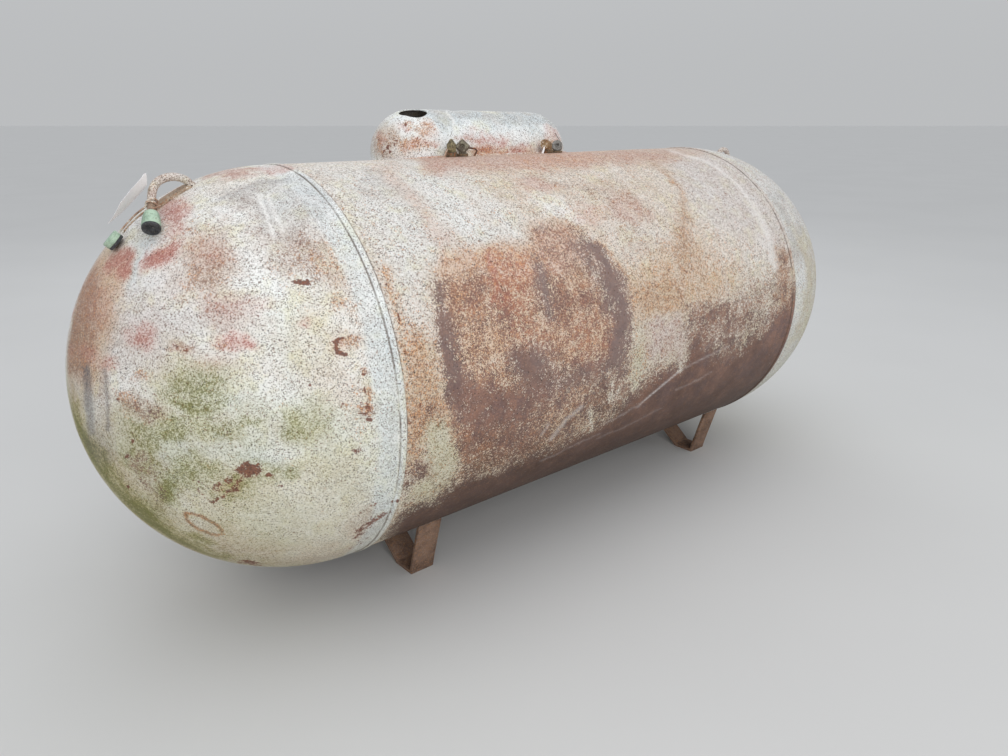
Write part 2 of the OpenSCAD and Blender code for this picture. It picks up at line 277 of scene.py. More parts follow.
    # green growth
    for x, y, rx, ry, rot, s in ((168, 490, 12, 17, -20, .58), (150, 470, 14, 16, 0, .40), (198, 392, 28, 26, 0, .46), (210, 430, 52, 14, 6, .36), (305, 424, 28, 18, 0, .38),
                                 (230, 488, 24, 14, 0, .40), (140, 440, 28, 26, 0, .38), (190, 470, 26, 20, 0, .42), (255, 470, 24, 16, 0, .30), (290, 470, 12, 8, 0, .34), (300, 340, 24, 36, 0, .12),
                                 (215, 398, 10, 12, 0, .52), (172, 430, 16, 10, 0, .50), (250, 423, 18, 8, 0, .42), (185, 405, 14, 10, 0, .5), (204, 430, 16, 7, 0, .30), (330, 470, 30, 30, 0, .16),
                                 (250, 520, 60, 30, 0, .20), (150, 512, 20, 12, 20, .45)):
        B("green", x, y, rx * 1.15, ry * 1.15, rot, s=min(1.0, s * 1.45), soft=.9)
    A("green", [(180, 380), (230, 372), (262, 400), (330, 410), (340, 440), (280, 446), (250, 470), (270, 500), (200, 510), (140, 500), (120, 440), (130, 420), (176, 410)], .27, soft=22)
    A("green", [(60, 395), (88, 428), (112, 466), (140, 500), (180, 530), (230, 560), (200, 575), (120, 545), (80, 490), (60, 440)], 1.0, soft=16)
    A("tan", [(60, 380), (88, 424), (112, 460), (146, 498), (190, 530), (240, 562), (200, 575), (120, 545), (80, 490), (60, 440)], .92, soft=20)
    A("brown", [(60, 380), (84, 424), (108, 466), (136, 506), (176, 538), (220, 564), (190, 575), (120, 550), (80, 495), (60, 440)], .74, soft=20)
    A("green", [(60, 395), (80, 410), (110, 450), (146, 486), (176, 516), (236, 552), (300, 566), (200, 585), (110, 550), (70, 490)], .40, soft=22)
    A("brown", [(190, 520), (300, 556), (372, 540), (380, 560), (300, 580), (200, 575)], .40, soft=16)
    A("tan", [(190, 500), (300, 536), (372, 520), (380, 560), (300, 580), (200, 575)], .45, soft=20)
    A("white", [(60, 240), (110, 228), (120, 330), (104, 380), (100, 430), (140, 500), (230, 566), (120, 560), (60, 460)], -.85, soft=20)
    # grey rubbed places
    S("dark", [(222, 198), (240, 191), (262, 184), (290, 180)], 7, .52, 4, 2)
    S("dark", [(224, 190), (250, 184), (280, 178)], 3, .30, 2, 2)
    B("dark", 250, 198, 28, 10, -14, s=.32)
    B("dark", 300, 206, 24, 28, 0, s=.26)
    B("dark", 272, 214, 16, 14, 0, s=.26)
    A("dark", [(82, 366), (89, 366), (92, 400), (96, 436), (88, 436), (84, 400)], .95, soft=2.5, wob=1)
    A("blue", [(82, 366), (89, 366), (92, 400), (96, 436), (88, 436), (84, 400)], .8, soft=3, wob=1)
    S("dark", [(105, 370), (107, 400), (107, 430)], 3.0, .75, 1.4, 1)
    B("dark", 98, 446, 14, 18, -20, s=.38)
    B("dark", 145, 330, 40, 30, 0, s=.12)
    for x, y, rx, ry, rot in ((150, 480, 9, 17, -30), (160, 497, 8, 12, -30), (136, 462, 7, 9, -20), (140, 404, 12, 8, 10), (152, 412, 10, 6, 20)):
        B("prim", x, y, rx, ry, rot, s=.42, soft=.95)
        B("brown", x, y, rx * 1.3, ry * 1.3, rot, s=.7, soft=.9)
    # sharp rust marks
    A("mark", [(291, 281), (300, 278.5), (303, 280), (311, 279), (311, 284), (303, 285), (297, 284.5), (293, 283)], 1, soft=1.6, wob=1, vary=False)
    B("mark", 299, 243, 4, 9, 15, s=.50, soft=.9, wob=2)
    B("brown", 299, 243, 10, 15, 15, s=.6, soft=.9, wob=2)
    S("mark", [(342, 338), (337, 340), (336, 347), (338, 353), (345, 355)], 4.6, .95, 1.8, 1)
    S("mark", [(329, 342), (335, 342)], 1.6, .7, 1.2, 1)
    B("pink", 340, 347, 9, 10, s=.30, wob=1)
    A("mark", [(237, 465), (246, 461), (260, 465), (263, 472), (258, 477), (250, 480), (241, 479), (237, 475), (232, 470)], .86, soft=3.6, wob=2, vary=False)
    B("mark", 269, 475, 3.4, 3.0, s=.95, soft=.5, wob=1)
    S("mark", [(240, 479), (232, 487), (224, 494), (213, 502)], 3.8, .85, 2.2, 2)
    S("mark", [(213, 502), (204, 500), (198, 494), (195, 482)], 1.8, .72, 1.6, 2)
    B("mark", 216, 486, 5.5, 4.5, s=.75, soft=.7, wob=2)
    B("mark", 226, 480, 4, 5, s=.70, soft=.7, wob=2)
    B("mark", 234, 490, 5, 3, -30, s=.70, soft=.7, wob=2)
    S("mark", [(192, 478), (196, 485), (200, 479)], 1.7, .62, 1.2, 1)
    B("mark", 279, 486, 2.6, 1.8, s=.9, wob=1, vary=False)
    B("tan", 226, 489, 16, 10, s=.85)
    B("brown", 228, 486, 22, 13, -25, s=.34)
    S("fleck", [(184, 514), (199, 516), (213, 523), (221, 530), (223, 535), (210, 535), (197, 529), (188, 521), (184, 514)], 3.6, .62, 1.6, 1)
    S("brown", [(184, 514), (199, 516), (213, 523), (221, 530), (223, 535), (210, 535), (197, 529), (188, 521), (184, 514)], 2.4, 1.0, 1.2, 1)
    S("tan", [(184, 514), (199, 516), (213, 523), (221, 530), (223, 535), (210, 535), (197, 529), (188, 521), (184, 514)], 3.2, 1.0, 1.4, 1)
    for x, y, rx, ry in ((362, 373, 2.6, 2.2), (364, 388, 2.6, 4), (368, 408, 4.0, 4.5), (361, 415, 5, 1.6), (367, 398, 1.8, 4), (368, 419, 3.4, 2), (358, 402, 2.4, 1.2), (357, 451, 4.5, 2.4)):
        B("mark", x, y, rx, ry, s=.80, soft=.7, wob=2)
    S("mark", [(386, 512), (376, 520), (366, 528), (358, 537)], 5.5, .66, 3.0, 2)
    S("mark", [(376, 507), (366, 511), (360, 516)], 4, .52, 2.4, 2)
    S("mark", [(368, 538), (358, 545), (348, 552)], 4, .45, 2.4, 2)
    B("brown", 372, 524, 20, 16, -35, s=.40)
    for x, y, r in ((393, 502, 2.6), (132, 441, 2.6), (127, 456, 3), (118, 400, 2.2), (205, 430, 1.6), (346, 384, 1.6), (310, 386, 1.6), (330, 402, 1.8), (165, 350, 2.4), (186, 350, 2.6), (155, 418, 2), (232, 406, 1.5), (344, 404, 1.8), (290, 506, 1.5), (128, 487, 2.2),
                    (208, 318, 1.8), (224, 296, 1.6), (258, 316, 1.5), (176, 346, 2.4)):
        B("mark", x, y, r, r * .8, s=.80, soft=.6, wob=1, vary=False)
    for x, y, rx, ry, sv in ((348, 340, 9, 8, .50), (362, 368, 5, 4, .62), (366, 392, 5, 10, .62), (338, 295, 8, 12, .42), (316, 262, 10, 10, .40), (362, 410, 7, 8, .60), (222, 346, 12, 5, .40), (132, 395, 14, 9, .45), (146, 372, 10, 5, .35)):
        B("fleck", x, y, rx, ry, s=min(1.0, sv + .3), soft=.9)
        B("brown", x, y, rx, ry, s=sv, soft=.9)
    A("mark", [(228, 562), (246, 561), (272, 566), (250, 569)], .75, soft=2, wob=2)
    S("mark", [(137, 388), (148, 391), (160, 397)], 1.7, .5, 1.1, 1)
    # fine rub and scratch marks
    S("fleck", [(332, 222), (339, 243), (346, 266)], 6, .50, 4, 2)
    S("tan", [(332, 222), (339, 243), (346, 266)], 7, .40, 4, 2)
    S("line", [(259, 197), (266, 214), (274, 234)], 3.6, .80, 1.8, 1)
    S("line", [(268, 197), (275, 214), (283, 230)], 3.6, .70, 1.8, 1)
    S("line", [(252, 212), (284, 229)], 2, .30, 1.5, 1)
    for p in ([(150, 300), (230, 286)], [(240, 262), (270, 330)], [(120, 330), (170, 300)], [(160, 430), (250, 400)], [(300, 470), (340, 500)], [(250, 515), (330, 540)]):
        S("line", p, 1.6, .16, 1.0, 1)
    # red-brown along the top
    S("brown", [(205, 178), (230, 172), (262, 168), (286, 168)], 8, .60, 5, 3)
    S("pink", [(205, 178), (230, 172), (262, 168), (286, 168)], 7, .42, 5, 3)
    # painted shadow: grey on the head round the foot of the near hanger's black pad
    B("dark", 150, 228, 10, 5, 0, s=.5, wob=1)
    B("tan", 240, 178, 60, 14, -12, s=.3)
    S("blue", [(152, 236), (141, 246), (134, 262), (130, 284)], 8, (.95,), 4, 2)
    S("white", [(152, 236), (141, 246), (134, 262), (130, 284)], 8, (.95,), 4, 2)
    S("pink", [(152, 236), (141, 246), (134, 262), (130, 284)], 7, (.05,), 4, 2)
    S("speck", [(152, 236), (141, 246), (134, 262), (130, 284)], 7, (.15,), 4, 2)
    A("speck", [(247, 500), (350, 495), (362, 545), (260, 568), (205, 545)], -.80, soft=22)
    B("speck", 190, 440, 100, 70, s=.70)
    B("speck", 355, 290, 18, 60, -12, s=.85)
    B("speck", 110, 330, 34, 80, s=.80)
    B("speck", 160, 330, 60, 60, s=.74)
    B("white", 205, 262, 26, 34, s=-.30)
    B("white", 300, 255, 26, 24, s=-.28)


def paint_shell(m):
    c = m.c
    c["white"] += 0.34
    c["tan"] += 0.40
    c["fleck"] += 0.30
    c["speck"] += 0.55
    c["brown"] += 0.16
    B, A, S = m.blob, m.area, m.stroke

    def put(pts, soft, wob=2, grow=0, **to):
        """Sets several channels at once inside an outline."""
        soft = soft * 1.55
        k = sstep(-soft, soft, m.inside(pts, wob) + grow)
        for ch, v in to.items():
            m.put(ch, k, (v,), False)

    # white left part, with slanting cleaner streaks
    put([(300, 160), (420, 160), (470, 190), (530, 236), (470, 246), (430, 262), (432, 300), (420, 340), (400, 340), (384, 270), (350, 225)], 18, white=.47, tan=.07, brown=.16, fleck=.24, blue=.34)
    put([(430, 165), (455, 168), (530, 235), (505, 240), (490, 226)], 10, white=.56, tan=.12, brown=.13, blue=.35)
    put([(410, 168), (436, 172), (494, 240), (474, 244), (456, 226)], 9, white=.62, tan=.10, brown=.10, blue=.35)
    put([(372, 164), (392, 166), (458, 240), (440, 244), (420, 214)], 7, white=.45, tan=.34, brown=.30, pink=.18, fleck=.30)
    put([(452, 178), (474, 196), (500, 226), (488, 222)], 6, white=.50, tan=.30, brown=.26)
    B("dark", 374, 181, 15, 9, 10, s=.30)
    B("dark", 392, 186, 16, 8, 30, s=.20)
    put([(384, 300), (420, 290), (434, 330), (440, 372), (430, 392), (406, 380), (396, 340)], 10, white=.62, tan=.30, brown=.14, fleck=.40)
    # pale streaks over the tan middle part
    B("white", 558, 208, 24, 8, 22, s=(.78,), soft=.9, wob=2)
    B("tan", 558, 208, 24, 8, 22, s=(.12,), soft=.9, wob=2)
    B("white", 628, 236, 18, 26, -20, s=(.55,), soft=.9)
    B("white", 615, 170, 34, 5, 4, s=(.55,), soft=.9, wob=2)
    # grey and cream right part
    put([(660, 148), (770, 158), (795, 240), (792, 262), (756, 250), (716, 228), (690, 204), (676, 178)], 13, white=.54, tan=.05, brown=.30, blue=.42, fleck=.16, pink=.10)
    put([(700, 230), (760, 246), (778, 262), (772, 290), (744, 296), (716, 280), (700, 262)], 14, white=.74, tan=.32, brown=.10, fleck=.34, blue=.05)
    put([(612, 222), (642, 214), (664, 244), (650, 268), (626, 262)], 10, white=.50, tan=.30, brown=.32, blue=.12)
    # orange and ochre stains
    put([(630, 262), (664, 246), (700, 232), (736, 262), (742, 292), (712, 304), (686, 312), (652, 316), (636, 300)], 13, white=.44, tan=.74, brown=.16, fleck=.50)
    put([(634, 286), (664, 276), (688, 290), (686, 312), (640, 318), (633, 306)], 8, tan=.88, fleck=.56, white=.22, brown=.40)
    put([(677, 214), (690, 214), (694, 262), (684, 280), (676, 250)], 6, tan=.7, brown=.48, fleck=.56, white=.25)
    S("brown", [(650, 160), (668, 174), (680, 192), (684, 214)], 6, .46, 4, 2)
    S("tan", [(650, 160), (668, 174), (680, 192), (684, 214)], 8, .70, 4, 2)
    S("fleck", [(668, 176), (680, 192), (684, 204)], 5, .62, 4, 2)
    put([(404, 336), (420, 330), (438, 372), (446, 400), (458, 420), (440, 428), (414, 432), (405, 400)], 8, tan=.86, fleck=.62, white=.28, brown=.42)
    put([(383, 268), (392, 268), (402, 300), (408, 336), (414, 380), (406, 386), (400, 330)], 5, tan=.62, fleck=.62, white=.40, brown=.25)
    for p in ([(384, 266), (391, 284), (397, 304), (402, 328)], [(404, 338), (410, 366), (414, 392)]):
        S("tan", p, 5, .80, 3, 2)
        S("fleck", p, 4, .86, 2.5, 2)
    S("mark", [(396, 302), (399, 313), (401, 322)], 1.5, .62, 1.6, 1)
    S("mark", [(389, 288), (391, 293)], 1.4, .58, 1.4, 1)
    S("mark", [(406, 350), (407, 357)], 1.6, .58, 1.4, 1)
    put([(405, 394), (460, 398), (470, 420), (430, 432), (408, 440)], 8, tan=.80, fleck=.60, white=.22, brown=.50)
    put([(430, 420), (454, 420), (462, 452), (452, 484), (434, 500), (412, 504), (414, 486), (430, 470), (426, 440)], 6, white=.52, tan=.24, brown=.24, fleck=.30, green=.26)
    put([(406, 434), (424, 430), (424, 456), (408, 470)], 5, tan=.75, fleck=.62, brown=.45, white=.3)
    B("prim", 420, 469, 12, 12, 0, s=.66)
    B("brown", 424, 468, 15, 14, 0, s=.75)
    B("prim", 410, 480, 8, 14, 20, s=.62)
    B("prim", 434, 407, 7.5, 6, 0, s=.80, wob=2)
    B("brown", 434, 407, 12, 9, 0, s=.75)
    B("prim", 424, 450, 4, 3, 0, s=.62, wob=2)
    # red-brown along the ridge
    put([(416, 154), (470, 152), (540, 149), (640, 146), (700, 152), (668, 162), (600, 166), (520, 169), (470, 172), (430, 170)], 5, brown=.44, pink=.30, tan=.50, white=.30)
    put([(418, 156), (462, 154), (458, 168), (440, 173), (424, 169)], 5, pink=.34, brown=.50, white=.22)
    put([(508, 154), (590, 151), (596, 162), (556, 168), (516, 166)], 5, pink=.40, tan=.70, fleck=.50, brown=.36)
    B("pink", 592, 214, 16, 9, 10, s=.30)
    B("pink", 630, 208, 20, 15, 10, s=.24)
    B("brown", 630, 208, 26, 18, 10, s=.50)
    B("brown", 548, 184, 30, 8, 14, s=.46)
    B("pink", 540, 186, 20, 6, 14, s=.30)
    B("brown", 604, 192, 34, 10, 20, s=.42)
    # the large worn patch: grains of paint left over smooth primer
    patch = [(531, 228), (546, 223), (572, 226), (594, 238), (612, 258), (626, 284), (631, 307), (632, 332), (628, 354), (618, 372), (600, 386), (586, 400), (566, 420), (545, 440),
             (520, 452), (470, 456), (456, 430), (454, 400), (444, 382), (438, 352), (437, 320), (436, 290), (439, 276), (452, 268), (486, 262), (512, 258), (530, 250)]
    put(patch, 9, prim=.56, tan=.92, white=.30, brown=.22, fleck=.34, speck=.35, blue=0, pink=.12)
    put([(446, 250), (536, 244), (540, 262), (528, 274), (486, 272), (450, 274), (440, 268)], 7, prim=.12, tan=.80, fleck=.48, white=.35, brown=.30, pink=.22)
    put([(484, 250), (530, 252), (536, 268), (528, 280), (500, 284), (486, 268)], 6, prim=.38, red=.80, pink=.34, tan=.85, fleck=.52)
    S("red", [(488, 256), (494, 272), (497, 290), (492, 300)], 6, 1.0, 3.5, 2)
    S("pink", [(488, 256), (494, 272), (497, 290), (492, 300)], 6, .75, 3.5, 2)
    put([(446, 275), (486, 273), (490, 300), (482, 318), (450, 318), (443, 300)], 8, prim=.60, red=.20)
    B("fleck", 461, 298, 10, 8, 0, s=.85)
    put([(486, 276), (534, 276), (536, 304), (528, 322), (500, 318), (490, 304)], 8, prim=.60, red=.60)
    put([(458, 318), (512, 318), (516, 350), (510, 386), (478, 388), (462, 368), (456, 340)], 8, prim=.52, red=.08, tan=1.0, white=.42)
    put([(552, 280), (596, 270), (612, 300), (612, 352), (598, 372), (560, 362), (552, 330)], 8, prim=.57, red=.22, tan=.95)
    put([(576, 322), (612, 316), (612, 356), (596, 372), (574, 364)], 8, prim=.55, red=.45)
    put([(512, 322), (550, 318), (556, 352), (520, 354), (512, 340)], 7, prim=.50, red=.42, tan=.88)
    put([(535, 226), (572, 228), (580, 250), (572, 272), (546, 276), (534, 262)], 7, prim=.42, red=.16, pink=.34, tan=.72)
    B("ring", 556, 252, 26, 18, 0, s=.25)
    # its smooth dark border and streaks
    def dark_band(pts, w, soft, v=.98, ring=.9):
        S("prim", pts, w * .9, (.56 + (v - .56) * .92,), soft * 1.8, 3)
        S("ring", pts, w * 1.1, (ring,), soft * 1.9, 3)
        S("red", pts, w, (0.0,), soft * 2.0, 2)
        S("tan", pts, w * .9, (.22,), soft * 1.6, 2)
    dark_band([(438, 282), (439, 300), (440, 320)], 7, 4, .74, .6)
    dark_band([(442, 322), (447, 345), (450, 366), (458, 384), (466, 398)], 17, 6, .96, .6)
    dark_band([(575, 244), (586, 262), (596, 282)], 10, 6, .70, .8)
    dark_band([(590, 240), (606, 258), (616, 284), (621, 312), (622, 340), (618, 362)], 17, 5, .98, .95)
    dark_band([(600, 270), (606, 292), (610, 310)], 10, 6, .72, .7)
    dark_band([(540, 264), (543, 284), (546, 300), (548, 316)], 10, 4, .86, 1.0)
    dark_band([(536, 362), (538, 384), (534, 406), (530, 418)], 30, 9, .96, .9)
    dark_band([(518, 360), (530, 372)], 20, 8, .96, .3)
    dark_band([(546, 376), (566, 380), (588, 376), (604, 368)], 20, 9, .88, .55)
    put([(462, 384), (512, 388), (516, 424), (480, 424), (464, 410)], 9, prim=.88, ring=.30, red=.18, tan=.50)
    put([(456, 424), (540, 420), (556, 436), (530, 456), (470, 462), (458, 446)], 9, prim=.84, tan=.9, white=.34, red=.10)
    B("prim", 486, 440, 14, 9, 0, s=.80)
    put([(452, 386), (520, 392), (548, 380), (560, 400), (540, 430), (500, 436), (468, 424), (456, 404)], 8, prim=.86, red=.10, tan=.45, ring=.30)
    S("tan", [(596, 238), (614, 254), (629, 282), (635, 310), (636, 344), (628, 372)], 7, .92, 4, 2)
    S("fleck", [(596, 238), (614, 254), (629, 282), (635, 310), (636, 344), (628, 372)], 6, .55, 4, 2)
    S("prim", [(600, 234), (618, 252), (634, 282), (639, 310), (640, 344)], 5, (0.0,), 3, 2)
    # bare primer along the lower side
    low = [(384, 540), (408, 506), (434, 498), (448, 487), (462, 477), (490, 469), (522, 457), (545, 444), (575, 432), (604, 416), (632, 396), (644, 380), (662, 366), (684, 366), (688, 330), (698, 310),
           (712, 304), (732, 310), (750, 330), (770, 322), (786, 300), (800, 290), (812, 320), (785, 365), (740, 400), (640, 450), (520, 498), (420, 545), (380, 560)]
    put(low, 12, prim=.90, ring=.10, tan=.75)
    put([(a, b + 9) for a, b in low], 8, prim=.97, tan=.35)
    put([(460, 440), (530, 420), (560, 440), (530, 458), (490, 470), (462, 478)], 9, prim=.80, tan=.85, white=.40, fleck=.4)
    put([(534, 402), (586, 396), (600, 404), (580, 432), (544, 448), (530, 440)], 12, prim=.68, tan=.95, white=.45, fleck=.4)
    put([(586, 386), (640, 366), (652, 378), (632, 398), (600, 418), (584, 412)], 12, prim=.76, tan=.70, white=.55)
    S("line", [(551, 440), (566, 420), (582, 406)], 2.4, .45, 1.8, 1)
    S("line", [(541, 436), (548, 424)], 2.0, .35, 1.6, 1)
    for p in ([(590, 410), (592, 430)], [(612, 384), (610, 402)], [(618, 388), (616, 398)], [(634, 356), (631, 392)], [(640, 360), (636, 388)], [(646, 352), (642, 380)], [(681, 362), (680, 370)]):
        S("prim", p, 3.0, (.22,), 2.2, 1)
        S("white", p, 3.0, (.7,), 2.2, 1)
        S("tan", p, 3.0, (.3,), 2.2, 1)
    # the paler grey patch
    put([(644, 320), (684, 314), (686, 340), (680, 362), (668, 358), (652, 362), (640, 352)], 5, prim=.16, white=.30, brown=.40, blue=.22, tan=.05, fleck=.18, pink=.22, speck=.35)
    put([(632, 326), (648, 322), (648, 352), (644, 370), (634, 388), (628, 384), (632, 356)], 5, prim=.20, white=.50, tan=.30, blue=.10, green=.25, fleck=.4, brown=.2)
    # right part: paint left as grains and runs over the primer
    put([(740, 288), (776, 272), (790, 280), (786, 300), (768, 320), (748, 326), (734, 310)], 12, prim=.44, tan=.45, white=.55, brown=.2, fleck=.35)
    put([(704, 344), (728, 340), (746, 344), (742, 356), (720, 364), (706, 360)], 9, prim=.78, tan=.60, white=.55)
    put([(690, 306), (744, 306), (764, 326), (748, 342), (712, 344), (692, 340)], 10, prim=.74, tan=.60, white=.55)
    for x0, y0, x1, y1, w in ((719, 318, 717, 346, 2.6), (724, 320, 723, 338, 2.0), (738, 314, 736, 350, 3.0), (731, 322, 730, 336, 1.8), (748, 316, 745, 344, 3.0), (755, 318, 751, 342, 2.6), (762, 314, 759, 338, 2.4),
                              (769, 308, 765, 332, 2.2), (775, 300, 771, 326, 2.0), (743, 330, 741, 356, 2.0), (711, 326, 710, 342, 1.6), (781, 300, 778, 320, 2.0), (697, 316, 696, 330, 1.6)):
        S("prim", [(x0, y0), (x1, y1)], w, (.50,), 2.4, 1)
        S("white", [(x0, y0), (x1, y1)], w + 1.0, (.70,), 1.8, 1)
    put([(776, 246), (790, 250), (793, 330), (784, 346), (778, 320)], 4, prim=.50, tan=.62, brown=.55, fleck=.55, white=.30)
    put([(772, 320), (794, 300), (800, 340), (770, 368), (756, 366)], 7, prim=.94)
    B("prim", 782, 285, 4, 8, 0, s=.7)
    A("speck", [(392, 525), (500, 465), (632, 400), (700, 340), (792, 310), (800, 380), (640, 460), (420, 560)], -.9, soft=12)
    S("line", [(681, 370), (664, 384), (645, 400)], 1.0, .90, .7, 0)
    S("line", [(645, 400), (638, 406)], 1.0, .55, .8, 0)
    S("line", [(729, 346), (704, 358), (681, 370)], 1.0, .34, .8, 0)
    S("line", [(712, 372), (676, 390)], 1.0, .22, .8, 1)
    S("line", [(604, 424), (640, 406)], 1.1, .26, .8, 1)
    S("line", [(540, 462), (600, 434)], 1.0, .20, .8, 1)
    S("line", [(596, 440), (640, 420), (662, 408)], 1.0, .16, .8, 1)
    S("line", [(700, 350), (760, 318)], 1.0, .14, .8, 1)
    # pale line that follows the right weld
    S("line", [(670, 151), (700, 159), (720, 169), (740, 187), (752, 203)], 2.2, .62, 1.6, 1)
    S("line", [(752, 203), (762, 222), (770, 242), (775, 268)], 6.0, .50, 3.0, 1)
    S("blue", [(752, 203), (762, 222), (770, 242), (775, 268)], 9, .5, 4, 1)
    # faint diagonal rub marks
    for p, sv in (([(420, 185), (520, 235)], .16), ([(440, 178), (545, 226)], .16), ([(400, 190), (470, 232)], .14), ([(610, 170), (720, 250)], .12), ([(640, 165), (740, 245)], .12),
                  ([(560, 180), (640, 262)], .12), ([(700, 180), (770, 250)], .14), ([(520, 176), (600, 230)], .14), ([(580, 168), (660, 236)], .12)):
        S("line", p, 7, sv, 5, 2)
    for x, y, r in ((405, 410, 2.2), (409, 424, 1.8), (404, 440, 1.8), (412, 434, 2.2), (404, 473, 2.2), (421, 404, 1.8), (404, 352, 1.5), (396, 298, 1.5), (399, 322, 1.8), (384, 274, 1.5), (388, 284, 1.4), (401, 336, 1.4), (393, 500, 2.6)):
        B("mark", x, y, r, r, s=.75, soft=.6, wob=1, vary=False)


def paint_right_head(m):
    c = m.c
    c["white"] += 0.46
    c["blue"] += 0.44
    c["brown"] += 0.18
    c["speck"] += 0.46
    c["fleck"] += 0.24
    A, S, B = m.area, m.stroke, m.blob
    A("green", [(800, 225), (815, 240), (818, 300), (806, 340), (796, 345), (803, 300), (803, 260)], .22, soft=7)
    A("tan", [(800, 225), (815, 240), (818, 300), (806, 340), (796, 345), (803, 300), (803, 260)], .30, soft=7)
    A("white", [(790, 260), (806, 270), (804, 310), (788, 340), (784, 330), (794, 300)], .80, soft=6)
    A("dark", [(776, 190), (800, 230), (806, 262), (796, 262), (786, 225), (766, 190)], .28, soft=5)
    A("brown", [(700, 150), (740, 160), (765, 180), (750, 182), (720, 165)], .35, soft=4)


def generic_low(m, k):
    """The underside that no picture shows."""
    z = m.P[:, 2]
    n = fbm(m.P, 5, 4, 11)
    if k == "shell":
        m.c["prim"] += np.clip(0.96 + 0.1 * n, 0, 1)
        m.c["tan"] += 0.3
        m.c["fleck"] += 0.25
    else:
        m.c["white"] += 0.5
        m.c["tan"] += np.clip(0.35 + 0.3 * n, 0, 1)
        m.c["speck"] += 0.3
        m.c["brown"] += np.clip(0.3 * n + 0.18, 0, 1)
        m.c["green"] += np.clip(0.25 * fbm(m.P, 4, 3, 12) + 0.10, 0, 1)
        m.c["prim"] += sstep(0.16, 0.09, z + 0.02 * n) * 0.7


def paint_hood(m):
    c = m.c
    c["white"] += 1.00
    c["speck"] += 0.36
    c["fleck"] += 0.14
    B, A, S = m.blob, m.area, m.stroke
    # painted sky light and shade: the hood's top band and its left end's outline are tinted blue-grey and dimmed where
    # the sheet turns to the sky
    A("blue", [(404, 106), (440, 108), (556, 113), (566, 128), (540, 132), (480, 126), (440, 128), (424, 120)], .95, soft=5)
    A("white", [(404, 100), (440, 104), (556, 108), (566, 124), (540, 126), (480, 121), (440, 122), (424, 116)], (.16,), soft=5)
    A("dark", [(430, 104), (556, 108), (566, 124), (540, 126), (480, 121), (440, 122)], .16, soft=5)
    A("speck", [(404, 100), (440, 104), (556, 108), (566, 124), (540, 126), (480, 121), (440, 122), (424, 116)], (.75,), soft=5)
    A("blue", [(370, 140), (374, 124), (390, 112), (402, 108), (398, 116), (384, 128), (380, 150), (372, 158)], .6, soft=4)
    # painted shade on the shaded side of the pressed crease
    A("dark", [(425, 108), (448, 108), (456, 120), (450, 128), (440, 118)], .28, soft=3, wob=2)
    # more of the painted sky shade, on the right part of the hood's top
    A("dark", [(500, 112), (556, 114), (560, 126), (520, 124)], .14, soft=4)
    for x, y, rx, ry, s in ((380, 136, 5, 6, .45), (405, 124, 6, 5, .52), (413, 143, 10, 5, .50), (428, 142, 7, 4, .46), (424, 128, 7, 6, .30), (466, 136, 10, 4, .50), (486, 138, 14, 4, .62), (502, 140, 9, 5, .60),
                            (488, 150, 13, 6, .74), (512, 153, 30, 5, .68), (530, 150, 12, 6, .52), (551, 134, 5, 7, .40), (540, 144, 8, 6, .30)):
        B("pink", x, y, rx, ry, s=s, wob=3, soft=.9)
    for x, y, rx, ry, s in ((385, 140, 14, 18, .50), (424, 128, 8, 7, .50), (412, 144, 18, 7, .60), (490, 151, 28, 6, .75), (510, 153, 34, 5, .6), (545, 146, 12, 9, .7), (400, 150, 14, 6, .35)):
        B("tan", x, y, rx, ry, s=s, wob=2, soft=.9)
    for x, y, rx, ry, s in ((384, 144, 12, 14, .52), (406, 124, 8, 5, .55), (424, 128, 10, 9, .70), (412, 144, 22, 8, .66), (490, 151, 30, 6, .7), (470, 138, 24, 5, .45), (545, 146, 12, 9, .6)):
        B("fleck", x, y, rx, ry, s=s, wob=2, soft=.9)
    for x, y, r in ((388, 147, 1.9), (391, 152, 1.8), (379, 140, 1.3), (384, 150, 1.3), (405, 125, 1.4), (397, 141, 1.1), (431, 146, 1.0), (418, 138, 1.0), (394, 145, 1.2)):
        B("mark", x, y, r, r * 1.2, s=.80, soft=.5, wob=1, vary=False)
    B("brown", 385, 142, 13, 16, s=.45)
    # painted highlight along the edge of the pressed crease
    S("line", [(447, 112), (453, 120), (454, 129)], 2.4, .7, 1.6, 1)
    S("line", [(432, 112), (446, 116)], 1.6, .35, 1.4, 1)
    B("dark", 541, 150, 3.5, 5, s=.6, wob=1)


def layer_over(out, ch, w):
    for k in CH:
        out[k] = out[k] * (1 - w) + ch[k] * w
    return out


def facing(Q, M):
    w = CAM - Q
    return (M * w).sum(1) / np.linalg.norm(w, axis=1)


def run_paint(f, Q, P):
    u, v = pixel(Q)
    m = Map(u, v, P)
    f(m)
    return m.c


def turned(P, N, deg, cx):
    """The same points turned about the upright line through a head's centre."""
    a = math.radians(deg)
    rot = np.array([[math.cos(a), -math.sin(a), 0], [math.sin(a), math.cos(a), 0], [0, 0, 1]])
    c = np.array([cx, 0, 0])
    return (P - c) @ rot.T + c, N @ rot.T


def head_channels(P, N):
    """Paint of the left head from its own marks; past what the picture shows, the same marks come round the upright axis."""
    low = Map(np.zeros(len(P)), np.zeros(len(P)), P)
    generic_low(low, "head")
    out = low.c
    for deg in (112, 70):
        Q, M = turned(P, N, deg, -HC)
        out = layer_over(out, run_paint(paint_left_head, Q, P), sstep(0.05, 0.30, facing(Q, M)) * sstep(-0.75, -0.35, M[:, 2]))
    return layer_over(out, run_paint(paint_left_head, P, P), sstep(0.0, 0.18, facing(P, N) + 0.05 * fbm(P, 6, 3, 31)))


